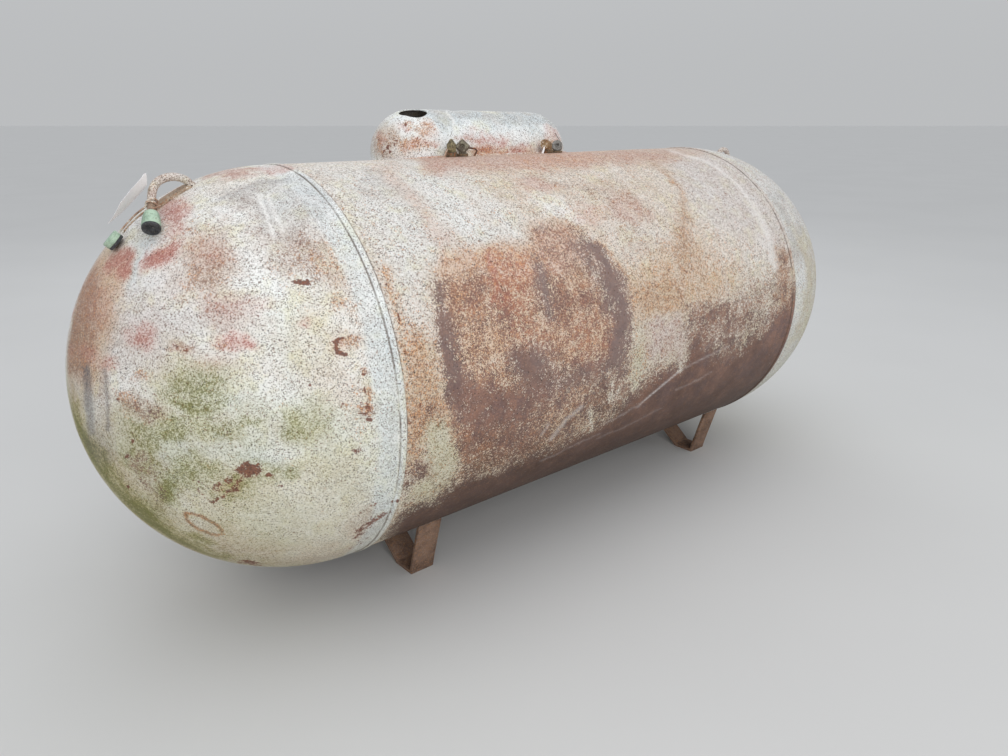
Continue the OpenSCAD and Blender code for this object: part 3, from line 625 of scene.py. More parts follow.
def seam_band(out, P, side):
    """Cooler, cleaner paint beside a ring weld, on the head; whiter towards the top as a painted highlight."""
    d = np.abs(P[:, 0]) - HALF + 0.008 * fbm(P, 7, 3, 21)
    k = sstep(0.006, 0.014, d) * sstep(0.078, 0.056, d) * np.clip(0.85 + 0.25 * fbm(P, 5, 3, 22), 0, 1)
    # the white value rising with height is a painted highlight
    for ch, to in (("white", 0.56 + 0.34 * sstep(0.80, 1.05, P[:, 2])), ("blue", 0.90 if side else 0.96), ("speck", 0.46), ("tan", 0.0), ("brown", 0.0), ("green", 0.0), ("fleck", 0.12)):
        out[ch] = out[ch] * (1 - 0.8 * k) + to * 0.8 * k
    return out


def paint_map(P, N, kind):
    """Channels at every point of a painted piece. What the picture shows takes its marks; the far side repeats them."""
    if kind == "shell":
        low = Map(np.zeros(len(P)), np.zeros(len(P)), P)
        generic_low(low, kind)
        out = low.c
        flip = np.array([1, -1, 1])
        out = layer_over(out, run_paint(paint_shell, P * flip, P), sstep(0.0, 0.10, facing(P * flip, N * flip)))
        return layer_over(out, run_paint(paint_shell, P, P), sstep(0.0, 0.06, facing(P, N)))
    if kind == "head_left":
        return seam_band(head_channels(P, N), P, 0)
    if kind == "head_right":
        flip = np.array([-1, 1, 1])
        out = head_channels(P * flip, N * flip)
        out = seam_band(out, P, 1)
        return layer_over(out, run_paint(paint_right_head, P, P), sstep(0.0, 0.05, facing(P, N)))
    if kind == "hood":
        flip = np.array([1, -1, 1])
        c = np.array([0, 2 * HOOD_Y, 0])
        Q = P * flip + c
        out = run_paint(paint_hood, Q, P)
        return layer_over(out, run_paint(paint_hood, P, P), sstep(-0.1, 0.12, facing(P, N)))


def store_channels(ob, ch, n_total):
    """Fifteen channels as five three-number attributes; points past the painted ones get zero."""
    for i in range(5):
        arr = np.zeros((n_total, 3))
        for j in range(3):
            v = ch[CH[i * 3 + j]]
            arr[: len(v), j] = np.clip(v, 0, 1)
        shade_attr(ob, f"wear_{i}", arr)


# ------------------------------------------------------------------ node materials
def C(r, g, b):
    f = lambda x: x / 12.92 if x <= 0.04045 else ((x + 0.055) / 1.055) ** 2.4
    return (f(r / 255), f(g / 255), f(b / 255), 1.0)


class Graph:
    def __init__(self, name):
        self.mat = bpy.data.materials.new(name)
        self.mat.use_nodes = True
        self.t = self.mat.node_tree
        self.t.nodes.clear()
        self.obj = self.node("ShaderNodeTexCoord").outputs["Object"]

    def node(self, kind, **props):
        n = self.t.nodes.new(kind)
        for k, v in props.items():
            setattr(n, k, v)
        return n

    def put(self, socket, value):
        if isinstance(value, bpy.types.NodeSocket):
            self.t.links.new(value, socket)
        else:
            socket.default_value = value

    def m(self, op, a, b=0.0, c=None, clamp=False):
        n = self.node("ShaderNodeMath", operation=op, use_clamp=clamp)
        self.put(n.inputs[0], a)
        self.put(n.inputs[1], b)
        if c is not None:
            self.put(n.inputs[2], c)
        return n.outputs[0]

    def add(self, a, b):
        return self.m("ADD", a, b)

    def mul(self, a, b):
        return self.m("MULTIPLY", a, b)

    def sub(self, a, b):
        return self.m("SUBTRACT", a, b)

    def step(self, lo, hi, x, a=0.0, b=1.0, kind="SMOOTHSTEP"):
        n = self.node("ShaderNodeMapRange", interpolation_type=kind)
        self.put(n.inputs["Value"], x)
        n.inputs["From Min"].default_value = lo
        n.inputs["From Max"].default_value = hi
        n.inputs["To Min"].default_value = a
        n.inputs["To Max"].default_value = b
        return n.outputs[0]

    def noise(self, scale, detail=2.0, rough=0.5, vec=None, dist=0.0):
        n = self.node("ShaderNodeTexNoise")
        self.put(n.inputs["Vector"], vec or self.obj)
        n.inputs["Scale"].default_value = scale
        n.inputs["Detail"].default_value = detail
        n.inputs["Roughness"].default_value = rough
        n.inputs["Distortion"].default_value = dist
        return n.outputs["Fac"]

    def voronoi(self, scale, vec=None, feature="F1", rand=1.0):
        n = self.node("ShaderNodeTexVoronoi", feature=feature)
        self.put(n.inputs["Vector"], vec or self.obj)
        n.inputs["Scale"].default_value = scale
        n.inputs["Randomness"].default_value = rand
        return n

    def mix(self, f, a, b, blend="MIX"):
        n = self.node("ShaderNodeMix", data_type="RGBA", blend_type=blend)
        self.put(n.inputs[0], f)
        self.put(n.inputs[6], a)
        self.put(n.inputs[7], b)
        return n.outputs[2]

    def xyz(self, vec):
        return self.node_split(vec)

    def node_split(self, vec):
        n = self.node("ShaderNodeSeparateXYZ")
        self.put(n.inputs[0], vec)
        return n.outputs

    def join(self, x, y, z):
        n = self.node("ShaderNodeCombineXYZ")
        for s, v in zip(n.inputs, (x, y, z)):
            self.put(s, v)
        return n.outputs[0]

    def scaled(self, x, y, z, vec=None):
        n = self.node("ShaderNodeVectorMath", operation="MULTIPLY")
        self.put(n.inputs[0], vec or self.obj)
        n.inputs[1].default_value = (x, y, z)
        return n.outputs[0]

    def moved(self, x, y, z):
        n = self.node("ShaderNodeVectorMath", operation="ADD")
        self.put(n.inputs[0], self.obj)
        n.inputs[1].default_value = (x, y, z)
        return n.outputs[0]

    def cover(self, c, n, soft=0.03, t0=0.80, t1=0.25):
        """Crisp breakup: covers about the share c of the surface, in the pattern of the noise n."""
        t = self.step(0.0, 1.0, c, t0, t1, "LINEAR")
        return self.step(-soft, soft, self.sub(n, t))

    def finish(self, color, rough=0.6, height=None, bump=0.4, dist=0.001, metal=0.0, spec=0.5, second=None):
        p = self.node("ShaderNodeBsdfPrincipled")
        self.put(p.inputs["Base Color"], color)
        self.put(p.inputs["Roughness"], rough)
        self.put(p.inputs["Metallic"], metal)
        p.inputs["Specular IOR Level"].default_value = spec
        if height is not None:
            b = self.node("ShaderNodeBump")
            b.inputs["Strength"].default_value = bump
            b.inputs["Distance"].default_value = dist
            self.put(b.inputs["Height"], height)
            self.t.links.new(b.outputs[0], p.inputs["Normal"])
        o = self.node("ShaderNodeOutputMaterial")
        self.t.links.new(p.outputs[0], o.inputs["Surface"])
        return self.mat


def vessel_paint(name, fixed=None, seam=True, grain=490.0):
    """Weathered white paint over red-brown primer and rust. The wear channels come from the mesh, or are the same all over."""
    g = Graph(name)
    ch = {}
    if fixed is None:
        for i in range(5):
            a = g.node("ShaderNodeAttribute", attribute_name=f"wear_{i}")
            out = g.xyz(a.outputs["Vector"])
            for j in range(3):
                ch[CH[i * 3 + j]] = out[j]
    else:
        for i, k in enumerate(CH):
            v = fixed.get(k, 0.0)
            ch[k] = g.mul(g.step(0.30, 0.70, g.noise(11 + 3 * i, 3, 0.55), 0.4, 1.6), v) if v else 0.0
    x, y, z = g.xyz(g.obj)
    arc = g.m("ARCTAN2", g.m("ABSOLUTE", y), g.sub(z, AZ))          # angle from the top, for runs down the side
    runs_v = g.join(x, g.mul(arc, 0.055), g.mul(y, 0.02))
    lean_v = g.join(g.add(x, g.mul(arc, -0.22)), g.mul(arc, 0.060), g.mul(y, 0.02))
    # fine grain first: every stain breaks up in it, as real wear does between the paint's pores
    cells = g.voronoi(grain)
    nA, nB, nD = g.xyz(cells.outputs["Color"])
    round_ = g.step(0.66, 0.38, cells.outputs["Distance"])
    big = g.voronoi(grain * 0.44, g.moved(0.7, 0.2, 0.9))
    bA, bB, bD = g.xyz(big.outputs["Color"])
    nC = g.noise(grain * 0.36, 2.0, 0.60)                                # clots of two or three pores
    nM = g.noise(46, 4, 0.62)
    nL = g.noise(10, 2, 0.58)
    nT = g.noise(17, 2, 0.60, g.moved(7.0, 2.0, 1.0))
    nU = g.noise(21, 2, 0.60, g.moved(1.0, 8.0, 4.0))
    runs = g.noise(120, 2, 0.62, runs_v)
    lean = g.noise(34, 3, 0.62, lean_v)
    C_, M_, L_, Rn = g.sub(nC, 0.5), g.sub(nM, 0.5), g.sub(nL, 0.5), g.sub(runs, 0.5)
    DA = g.add(g.mul(g.sub(nA, 0.5), 1.05), g.mul(C_, 1.5))
    DP = g.add(g.mul(g.sub(nA, 0.5), 1.40), g.mul(C_, 0.75))             # single pores
    DB = g.add(g.mul(g.sub(nB, 0.5), 0.95), g.add(g.mul(C_, 1.5), g.mul(M_, 0.9)))
    DD = g.add(g.mul(g.sub(nD, 0.5), 1.0), g.add(g.mul(C_, 1.4), g.mul(M_, 1.6)))
    # top coat, from clean white to chalky and worn
    w = g.add(g.add(ch["white"], g.mul(M_, 1.05)), g.add(g.mul(L_, 0.85), g.mul(g.sub(lean, 0.5), 0.75)))
    col = g.mix(g.step(-0.05, 0.95, w), C(189, 180, 166), C(241, 245, 245))
    col = g.mix(g.step(0.47, 0.70, nT, 0.0, 0.58), col, C(225, 222, 182))
    col = g.mix(g.step(0.50, 0.30, nT, 0.0, 0.20), col, C(216, 197, 192))
    col = g.mix(g.mul(g.step(0.48, 0.66, g.add(g.mul(nU, 0.6), g.mul(nM, 0.4)), 0.0, 0.62), g.step(0.9, 0.3, ch["tan"])), col, C(224, 231, 231))
    col = g.mix(g.step(0.86, 0.42, g.add(z, g.mul(L_, 0.3)), 0.0, 0.42), col, C(209, 213, 180))
    # blue-grey tint: cooler paint beside the welds, and on the hood's top a painted sky light
    col = g.mix(g.mul(ch["blue"], g.step(0.30, 0.66, nU, 0.45, 1.0)), col, C(198, 209, 213))
    col = g.mix(g.mul(ch["tan"], g.step(0.30, 0.66, g.add(g.mul(nM, 0.5), g.mul(nU, 0.5)), 0.55, 1.0)), col, C(211, 174, 127))
    # dark pores and pale chalk
    fine = g.step(-0.55, 0.55, g.add(g.sub(nB, 0.5), g.mul(C_, 0.5)), 0.0, 1.0, "LINEAR")
    col = g.mix(0.16, col, g.mix(fine, C(255, 255, 252), C(150, 138, 126)))
    pores = g.mul(g.step(0.27, 0.47, g.add(g.add(DP, g.mul(g.sub(g.add(g.mul(nU, 0.6), g.mul(nL, 0.4)), 0.5), 0.75)), g.add(g.mul(ch["speck"], 0.26), g.add(-0.13, g.mul(ch["blue"], -0.12))))), g.add(0.12, g.mul(round_, 0.88)))
    pcol_ = g.mix(g.step(0.40, 0.62, nU), C(68, 59, 56), C(100, 76, 58))
    col = g.mix(g.mul(pores, 0.94), col, pcol_)
    col = g.mix(g.mul(g.step(-0.12, -0.50, DP, 0.0, 0.50), g.sub(1.0, g.mul(g.m("MINIMUM", ch["tan"], 1.0), 0.62))), col, C(251, 252, 251))
    # brown stain
    col = g.mix(g.mul(ch["brown"], g.step(0.30, 0.70, nM, 0.45, 0.85)), col, C(184, 156, 138))
    col = g.mix(g.mul(g.step(0.36, 0.90, g.add(ch["brown"], g.mul(DB, 0.85))), g.step(0.0, 0.4, ch["brown"], 0.0, 0.72)), col, C(124, 94, 80))
    # green growth in the pores
    gm = g.m("MINIMUM", ch["green"], 1.0)
    col = g.mix(g.mul(gm, g.step(0.30, 0.70, nM, 0.60, 1.0)), col, C(166, 166, 96))
    col = g.mix(g.mul(g.step(0.34, 0.90, g.add(ch["green"], g.mul(DB, 0.80))), g.step(0.0, 0.5, ch["green"], 0.0, 0.80)), col, C(96, 95, 36))
    # red primer where the paint is thin
    col = g.mix(g.mul(ch["pink"], g.step(0.30, 0.70, nM, 0.65, 1.0)), col, C(204, 154, 141))
    col = g.mix(g.mul(g.step(0.38, 0.90, g.add(ch["pink"], g.add(g.mul(DA, 0.75), g.mul(Rn, 0.3)))), g.step(0.0, 0.3, ch["pink"], 0.0, 0.78)), col, C(158, 90, 78))
    # orange rust flecks
    fn = g.add(ch["fleck"], g.mul(DD, 0.85))
    fcol = g.mix(g.step(0.30, 0.70, nB), C(212, 158, 110), C(128, 88, 68))
    col = g.mix(g.mul(g.step(0.56, 0.92, fn), g.step(0.0, 0.2, ch["fleck"], 0.0, 0.80)), col, fcol)
    # smooth primer and rust, bare over wide parts
    mid = g.sub(1.0, g.mul(g.m("ABSOLUTE", g.sub(ch["prim"], 0.55)), 1.6))
    pr_f = g.add(g.add(ch["prim"], g.mul(g.m("MAXIMUM", g.sub(ch["prim"], 0.80), 0.0), 1.6)), g.add(g.mul(DB, 0.80), g.mul(g.add(g.mul(Rn, 0.50), g.mul(g.sub(g.add(nU, nT), 1.0), 0.80)), g.m("MAXIMUM", mid, 0.0))))
    pr = g.mul(g.step(0.32, 0.68, pr_f), g.step(0.0, 0.25, ch["prim"]))
    pcol = g.mix(g.step(0.34, 0.66, g.add(g.mul(nM, 0.55), g.mul(nL, 0.45))), C(116, 87, 77), C(142, 109, 96))
    pcol = g.mix(g.step(0.46, 0.60, nT, 0.0, 0.62), pcol, C(106, 88, 89))
    pcol = g.mix(g.mul(g.step(0.50, 0.34, nU, 0.0, 0.55), ch["tan"]), pcol, C(158, 106, 78))
    pcol = g.mix(g.step(-0.05, -0.60, DA, 0.0, 0.50), pcol, C(92, 72, 68))
    pcol = g.mix(g.step(0.10, 0.60, DA, 0.0, 0.40), pcol, C(168, 134, 116))
    pcol = g.mix(g.mul(ch["ring"], g.step(0.30, 0.70, nM, 0.50, 1.0)), pcol, C(132, 115, 111))
    pcol = g.mix(g.mul(ch["red"], g.step(0.30, 0.70, nM, 0.30, 0.78)), pcol, C(190, 112, 86))
    # painted shade: primer and paint darken towards the bottom for the ground's shadow under the tank
    pcol = g.mix(g.step(0.66, 0.16, g.add(z, g.mul(L_, 0.25)), 0.0, 0.90), pcol, C(66, 46, 34))
    col = g.mix(g.step(0.46, 0.08, g.add(z, g.mul(L_, 0.3)), 0.0, 0.34), col, C(150, 140, 112))
    pcol = g.mix(g.mul(g.step(0.34, 0.66, g.add(DD, g.mul(ch["tan"], 0.14)), 0.0, 0.50), g.m("MINIMUM", ch["tan"], 1.0)), pcol, g.mix(g.step(0.35, 0.65, nB), C(196, 140, 100), C(206, 168, 132)))
    col = g.mix(pr, col, pcol)
    # grey rubs, and painted shade where the dark marks stand for it (hood top and crease, under the near hanger)
    col = g.mix(g.mul(ch["dark"], g.step(-0.5, 0.4, DB, 0.50, 1.0)), col, C(112, 107, 108))
    # scattered black specks
    sn = g.add(bA, g.add(g.mul(ch["speck"], 0.12), g.add(g.mul(C_, 0.25), g.mul(g.sub(nU, 0.5), 0.22))))
    sp = g.mul(g.mul(g.step(0.88, 0.93, sn), g.step(0.40, 0.24, g.add(big.outputs["Distance"], g.mul(g.sub(bB, 0.5), 0.16)))), g.step(0.0, 0.1, ch["speck"], 0.0, 0.86))
    col = g.mix(sp, col, g.mix(g.step(0.45, 0.65, bD), C(58, 48, 44), C(104, 70, 52)))
    # sharp dark rust marks
    mk = g.step(0.42, 0.60, g.add(ch["mark"], g.add(g.mul(DB, 0.42), g.mul(g.sub(g.noise(105, 2, 0.6), 0.5), 1.5))))
    mk = g.mul(mk, g.step(0.05, 0.25, ch["mark"]))
    mcol = g.mix(g.step(-0.3, 0.4, DA), C(92, 58, 50), C(138, 88, 70))
    col = g.mix(g.mul(mk, 0.92), col, mcol)
    # pale scratches and rubbed lines, and a painted highlight along the hood's crease
    ln = g.mul(ch["line"], g.step(-0.35, 0.30, DB, 0.35, 1.0))
    col = g.mix(ln, col, C(247, 245, 242))
    if seam:
        ax = g.sub(g.m("ABSOLUTE", x), HALF)
        toe = g.m("ABSOLUTE", g.sub(g.m("ABSOLUTE", ax), 0.0092))
        near = g.mul(g.step(0.0034, 0.0006, toe), g.step(0.36, 0.60, g.noise(9, 3, 0.6), 0.12, 0.72))
        col = g.mix(near, col, C(104, 92, 84))
    if fixed is not None:
        end = g.node("ShaderNodeAttribute", attribute_name="rusty_end").outputs["Fac"]
        col = g.mix(g.mul(g.step(0.25, 0.75, g.add(end, g.mul(DB, 0.5))), g.step(0.0, 0.3, end, 0.0, 0.85)), col, g.mix(g.step(0.40, 0.60, nC), C(104, 78, 62), C(146, 118, 96)))
    # height: paint stands over primer, scale over both
    h_pr = g.step(0.32, 0.68, g.add(ch["prim"], g.mul(DB, 0.80)))
    h_po = g.step(0.27, 0.47, g.add(DP, g.add(g.mul(ch["speck"], 0.26), -0.13)))
    h = g.add(g.mul(g.sub(1.0, h_pr), 0.35), g.add(g.mul(g.m("MINIMUM", ch["mark"], 1.0), -0.40), g.mul(h_po, -0.30)))
    h = g.add(h, g.add(g.mul(nC, 0.60), g.mul(nM, 0.80)))
    rough = g.step(0.0, 1.0, pr, 0.62, 0.54, "LINEAR")
    rough = g.add(rough, g.mul(C_, 0.35))
    rough = g.m("MAXIMUM", rough, g.mul(mk, 0.85))
    return g.finish(col, rough, h, 0.40, 0.0010, spec=0.30)


def rust_material(name, lit=(128, 90, 66), dark=(74, 52, 44), pale=(168, 130, 98), paint=0.0, seedv=0.0, bloom=(156, 100, 62)):
    """Old rusted plate: layered browns, orange bloom and a little dust."""
    g = Graph(name)
    v = g.node("ShaderNodeVectorMath", operation="ADD")
    g.put(v.inputs[0], g.obj)
    v.inputs[1].default_value = (seedv, seedv * 0.7, 0.0)
    o = v.outputs[0]
    a = g.noise(34, 5, 0.62, o, 0.3)
    b = g.noise(150, 4, 0.62, o)
    c = g.noise(12, 3, 0.55, o)
    d = g.noise(340, 2, 0.55, o)
    col = g.mix(g.step(0.34, 0.64, g.add(g.mul(a, 0.6), g.mul(c, 0.4))), C(*dark), C(*lit))
    col = g.mix(g.mul(g.cover(0.42, b, 0.06), 0.75), col, C(*bloom))
    col = g.mix(g.mul(g.cover(0.30, d, 0.05, 0.74, 0.3), 0.5), col, C(*pale))
    col = g.mix(g.mul(g.cover(0.30, g.add(g.mul(a, 0.5), g.mul(b, 0.5)), 0.03), 0.6), col, C(60, 44, 40))
    if paint:
        pt = g.cover(paint, g.add(g.mul(a, 0.55), g.mul(b, 0.45)), 0.03, 0.70, 0.30)
        col = g.mix(pt, col, g.mix(g.step(0.35, 0.65, d), C(206, 198, 184), C(226, 221, 210)))
        sp = g.cover(0.4, g.noise(240, 1, 0.5, o), 0.03, 0.72, 0.5)
        col = g.mix(g.mul(sp, 0.8), col, C(84, 70, 60))
    h = g.add(g.mul(a, 0.6), g.add(g.mul(b, 0.8), g.mul(d, 0.35)))
    rough = g.step(0.3, 0.7, b, 0.72, 0.92)
    return g.finish(col, rough, h, 0.75, 0.0012, spec=0.3)


def metal_material(name, base, tarnish, rough=0.42, metal=0.7):
    g = Graph(name)
    a = g.noise(60, 5, 0.6)
    b = g.noise(260, 3, 0.6)
    k = g.step(0.36, 0.62, g.add(g.mul(a, 0.6), g.mul(b, 0.4)))
    col = g.mix(k, C(*base), C(*tarnish))
    col = g.mix(g.mul(g.cover(0.30, b, 0.04, 0.72, 0.3), 0.7), col, C(78, 62, 48))
    r = g.step(0.3, 0.7, b, rough, rough + 0.25)
    mt = g.step(0.0, 1.0, k, metal, metal * 0.45, "LINEAR")
    return g.finish(col, r, g.add(g.mul(a, 0.4), g.mul(b, 0.6)), 0.4, 0.0006, mt, 0.5)


def mint_material(name):
    g = Graph(name)
    a, b, c = g.noise(45, 4, 0.6), g.noise(260, 3, 0.6), g.noise(700, 2, 0.5)
    col = g.mix(g.step(0.35, 0.66, a), C(142, 168, 148), C(178, 202, 180))
    col = g.mix(g.mul(g.cover(0.28, b, 0.03, 0.74, 0.3), 0.8), col, C(104, 112, 88))
    col = g.mix(g.mul(g.cover(0.15, g.add(g.mul(a, 0.5), g.mul(b, 0.5)), 0.02, 0.72, 0.3), 0.9), col, C(118, 92, 66))
    return g.finish(col, g.step(0.3, 0.7, b, 0.45, 0.7), g.add(g.mul(b, 0.6), g.mul(c, 0.4)), 0.4, 0.0006, spec=0.4)


def rubber_material(name):
    g = Graph(name)
    a, b = g.noise(90, 4, 0.6), g.noise(420, 3, 0.6)
    col = g.mix(g.step(0.35, 0.68, a), C(36, 38, 42), C(72, 74, 78))
    col = g.mix(g.mul(g.cover(0.30, b, 0.03, 0.74, 0.3), 0.6), col, C(120, 112, 100))
    return g.finish(col, g.step(0.3, 0.7, b, 0.62, 0.85), g.add(g.mul(a, 0.5), g.mul(b, 0.5)), 0.5, 0.0007, spec=0.4)


def card_material(name):
    g = Graph(name)
    a, b, c = g.noise(24, 3, 0.5), g.noise(900, 3, 0.6), g.noise(160, 4, 0.6, g.scaled(1, 1, 0.4))
    col = g.mix(g.step(0.35, 0.65, a), C(246, 246, 249), C(252, 252, 253))
    col = g.mix(g.step(0.55, 0.72, c, 0.0, 0.26), col, C(206, 200, 194))
    return g.finish(col, 0.72, g.add(g.mul(b, 0.5), g.mul(c, 0.3)), 0.25, 0.0003, spec=0.3)


# ------------------------------------------------------------------ shapes
def assign(ob, mat):
    ob.data.materials.clear()
    ob.data.materials.append(mat)


def sweep(points, radius, sides=20, closed=False, rough=0.0, seed=0, up=(0.13, 0.2, 1.0)):
    """Round bar along a route. radius is one number or one for each point. Returns verts and faces with flat capped
    ends.
    """
    P = np.array(points, float)
    n = len(P)
    rad = np.full(n, radius) if np.isscalar(radius) else np.array(radius, float)
    if closed:
        T = np.roll(P, -1, 0) - np.roll(P, 1, 0)
    else:
        T = np.gradient(P, axis=0)
    T /= np.linalg.norm(T, axis=1)[:, None]
    u = np.cross(T[0], np.array(up, float))
    u /= np.linalg.norm(u)
    rows = []
    for i in range(n):
        u = u - T[i] * (u @ T[i])
        u /= np.linalg.norm(u)
        w = np.cross(T[i], u)
        a = np.linspace(0, 2 * math.pi, sides, endpoint=False)
        rows.append(P[i] + rad[i] * (np.cos(a)[:, None] * u + np.sin(a)[:, None] * w))
    V = np.array(rows).reshape(-1, 3)
    if rough:
        c = np.repeat(P, sides, 0)
        d = V - c
        V = c + d * (1 + rough * fbm(V, 90, 3, seed))[:, None]
    F = [tuple(q) for q in lathe_quads(n, sides, closed)]
    F = [(a, d, c, b) for a, b, c, d in F]
    if not closed:
        F.append(tuple(range(sides)))
        F.append(tuple(reversed(range((n - 1) * sides, n * sides))))
    return V, F


def smooth_route(pts, per=8):
    """A smooth curve through given points."""
    P = np.array(pts, float)
    P = np.vstack([2 * P[0] - P[1], P, 2 * P[-1] - P[-2]])
    out = []
    for i in range(1, len(P) - 2):
        for t in np.linspace(0, 1, per, endpoint=False):
            a, b, c, d = P[i - 1], P[i], P[i + 1], P[i + 2]
            out.append(0.5 * ((2 * b) + (-a + c) * t + (2 * a - 5 * b + 4 * c - d) * t ** 2 + (-a + 3 * b - 3 * c + d) * t ** 3))
    out.append(P[-2])
    return np.array(out)


def fix_normals(ob):
    bm = bmesh.new()
    bm.from_mesh(ob.data)
    bmesh.ops.recalc_face_normals(bm, faces=bm.faces)
    bm.to_mesh(ob.data)
    bm.free()
    ob.data.update()


def join(parts):
    """Joins (verts, faces) lists."""
    V, F, k = [], [], 0
    for v, f in parts:
        V.append(np.asarray(v, float))
        F += [tuple(int(i) + k for i in q) for q in f]
        k += len(v)
    return np.vstack(V), F


def shade_by_angle(ob, deg=35):
    bm = bmesh.new()
    bm.from_mesh(ob.data)
    lim = math.radians(deg)
    for f in bm.faces:
        f.smooth = True
    for e in bm.edges:
        if len(e.link_faces) == 2 and e.calc_face_angle(0) > lim:
            e.smooth = False
    bm.to_mesh(ob.data)
    bm.free()
    ob.data.update()


def normals_of(V, centre_line=True):
    d = V - np.stack([np.clip(V[:, 0], -HC, HC), np.zeros(len(V)), np.full(len(V), AZ)], 1)
    return d / np.linalg.norm(d, axis=1)[:, None]


def plate_wave(P):
    """How far rolled and pressed plate lies inside its true round, in metres. Never outside it."""
    w = 0.0007 * (0.5 + 0.5 * fbm(P, 2.6, 3, 31)) + 0.00025 * (0.5 + 0.5 * fbm(P, 14, 2, 32))
    seam = np.exp(-((np.abs(P[:, 0]) - HALF) / 0.03) ** 2)
    return w * (1 - 0.6 * seam) + 0.0010 * seam


# ---- shell
deg = np.concatenate([np.linspace(-10, 132, 238, endpoint=False), np.linspace(132, 350, 130, endpoint=False)])
phi = np.radians(deg)
step = np.linspace(5.3, 7.7, 256)
xs = -HALF + np.concatenate([[0], np.cumsum(step)]) / step.sum() * 2 * HALF
X, PH = np.meshgrid(xs, phi, indexing="ij")
true_round = np.stack([X.ravel(), -R * np.sin(PH).ravel(), AZ + R * np.cos(PH).ravel()], 1)
nrm = normals_of(true_round)
outer = true_round - nrm * plate_wave(true_round)[:, None]
inner = np.stack([np.repeat([HALF, -HALF], len(phi)), -(R - WALL) * np.sin(np.tile(phi, 2)), AZ + (R - WALL) * np.cos(np.tile(phi, 2))], 1)
shell = fast_mesh("tank_shell", np.vstack([outer, inner]), lathe_quads(len(xs) + 2, len(phi), True))
store_channels(shell, paint_map(true_round, nrm, "shell"), len(outer) + len(inner))
shade_by_angle(shell, 40)
shell_mat = vessel_paint("paint_worn_shell", grain=400.0)
assign(shell, shell_mat)
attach(shell, "root")
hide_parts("shell")


# ---- heads
def head_mesh(name, n, mirror):
    """Half sphere of near-even quads, its straight flange and its inside."""
    g = np.linspace(-1, 1, n + 1)
    A, B = np.meshgrid(g, g, indexing="ij")
    big = np.abs(A) > np.abs(B)
    with np.errstate(divide="ignore", invalid="ignore"):
        r = np.where(big, A, B)
        th = np.where(big, math.pi / 4 * np.nan_to_num(B / np.where(A == 0, 1, A)), math.pi / 2 - math.pi / 4 * np.nan_to_num(A / np.where(B == 0, 1, B)))
    px, py = r * np.cos(th), r * np.sin(th)
    rho = np.clip(np.hypot(px, py), 0, 1)
    an = np.arctan2(py, px)
    al = 2 * np.arcsin(np.clip(rho * math.sin(math.pi / 4), 0, 1))
    cap = np.stack([-HC - R * np.cos(al), R * np.sin(al) * np.cos(an), AZ + R * np.sin(al) * np.sin(an)], -1).reshape(-1, 3)
    idx = np.arange((n + 1) ** 2).reshape(n + 1, n + 1)
    F = np.stack([idx[:-1, :-1], idx[1:, :-1], idx[1:, 1:], idx[:-1, 1:]], -1).reshape(-1, 4)
    faces = [tuple(q) for q in F.tolist()]
    ring = np.concatenate([idx[:-1, 0], idx[-1, :-1], idx[:0:-1, -1], idx[0, :0:-1]])
    m = len(ring)
    V = [cap]
    count = len(cap)
    last = ring
    for k in range(1, 5):
        row = cap[ring].copy()
        row[:, 0] = -HC + FLANGE * k / 4
        V.append(row)
        new = np.arange(count, count + m)
        for i in range(m):
            j = (i + 1) % m
            faces.append((int(last[i]), int(last[j]), int(new[j]), int(new[i])))
        last = new
        count += m
    painted = count
    # inside, coarse because no eye reaches it
    q = 20
    s = m // q
    ring_pts = V[-1][::q]
    ang = np.arctan2(ring_pts[:, 2] - AZ, ring_pts[:, 1])
    ri = R - WALL
    rows = [(-HALF, 90.0), (-HC, 90.0)] + [(None, a) for a in (80, 70, 60, 50, 40, 30, 20, 10)]
    prev = None
    for x0, a in rows:
        aa = math.radians(a)
        x = x0 if x0 is not None else -HC - ri * math.cos(aa)
        row = np.stack([np.full(s, x), ri * math.sin(aa) * np.cos(ang), AZ + ri * math.sin(aa) * np.sin(ang)], 1)
        V.append(row)
        new = np.arange(count, count + s)
        for i in range(s):
            j = (i + 1) % s
            if prev is None:
                outerpts = [int(last[(i * q + t) % m]) for t in range(q + 1)]
                faces.append(tuple(outerpts + [int(new[j]), int(new[i])]))
            else:
                faces.append((int(prev[i]), int(prev[j]), int(new[j]), int(new[i])))
        prev = new
        count += s
    V.append(np.array([[-HC - ri, 0, AZ]]))
    for i in range(s):
        faces.append((int(prev[i]), int(prev[(i + 1) % s]), count))
    V = np.vstack(V)
    if mirror:
        V = V * np.array([-1, 1, 1])
    true = V[:painted].copy()
    nr = normals_of(true)
    V[:painted] = true - nr * plate_wave(true)[:, None]
    ob = mesh_object(name, V, faces)
    fix_normals(ob)
    shade_by_angle(ob, 40)
    store_channels(ob, paint_map(true, nr, "head_right" if mirror else "head_left"), len(V))
    return ob


head_mat = vessel_paint("paint_worn_head")
for name, n, mirror, node in (("tank_head_left", 300, False, "head_left"), ("tank_head_right", 220, True, "head_right")):
    ob = head_mesh(name, n, mirror)
    assign(ob, head_mat)
    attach(ob, "root")
    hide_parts(node)


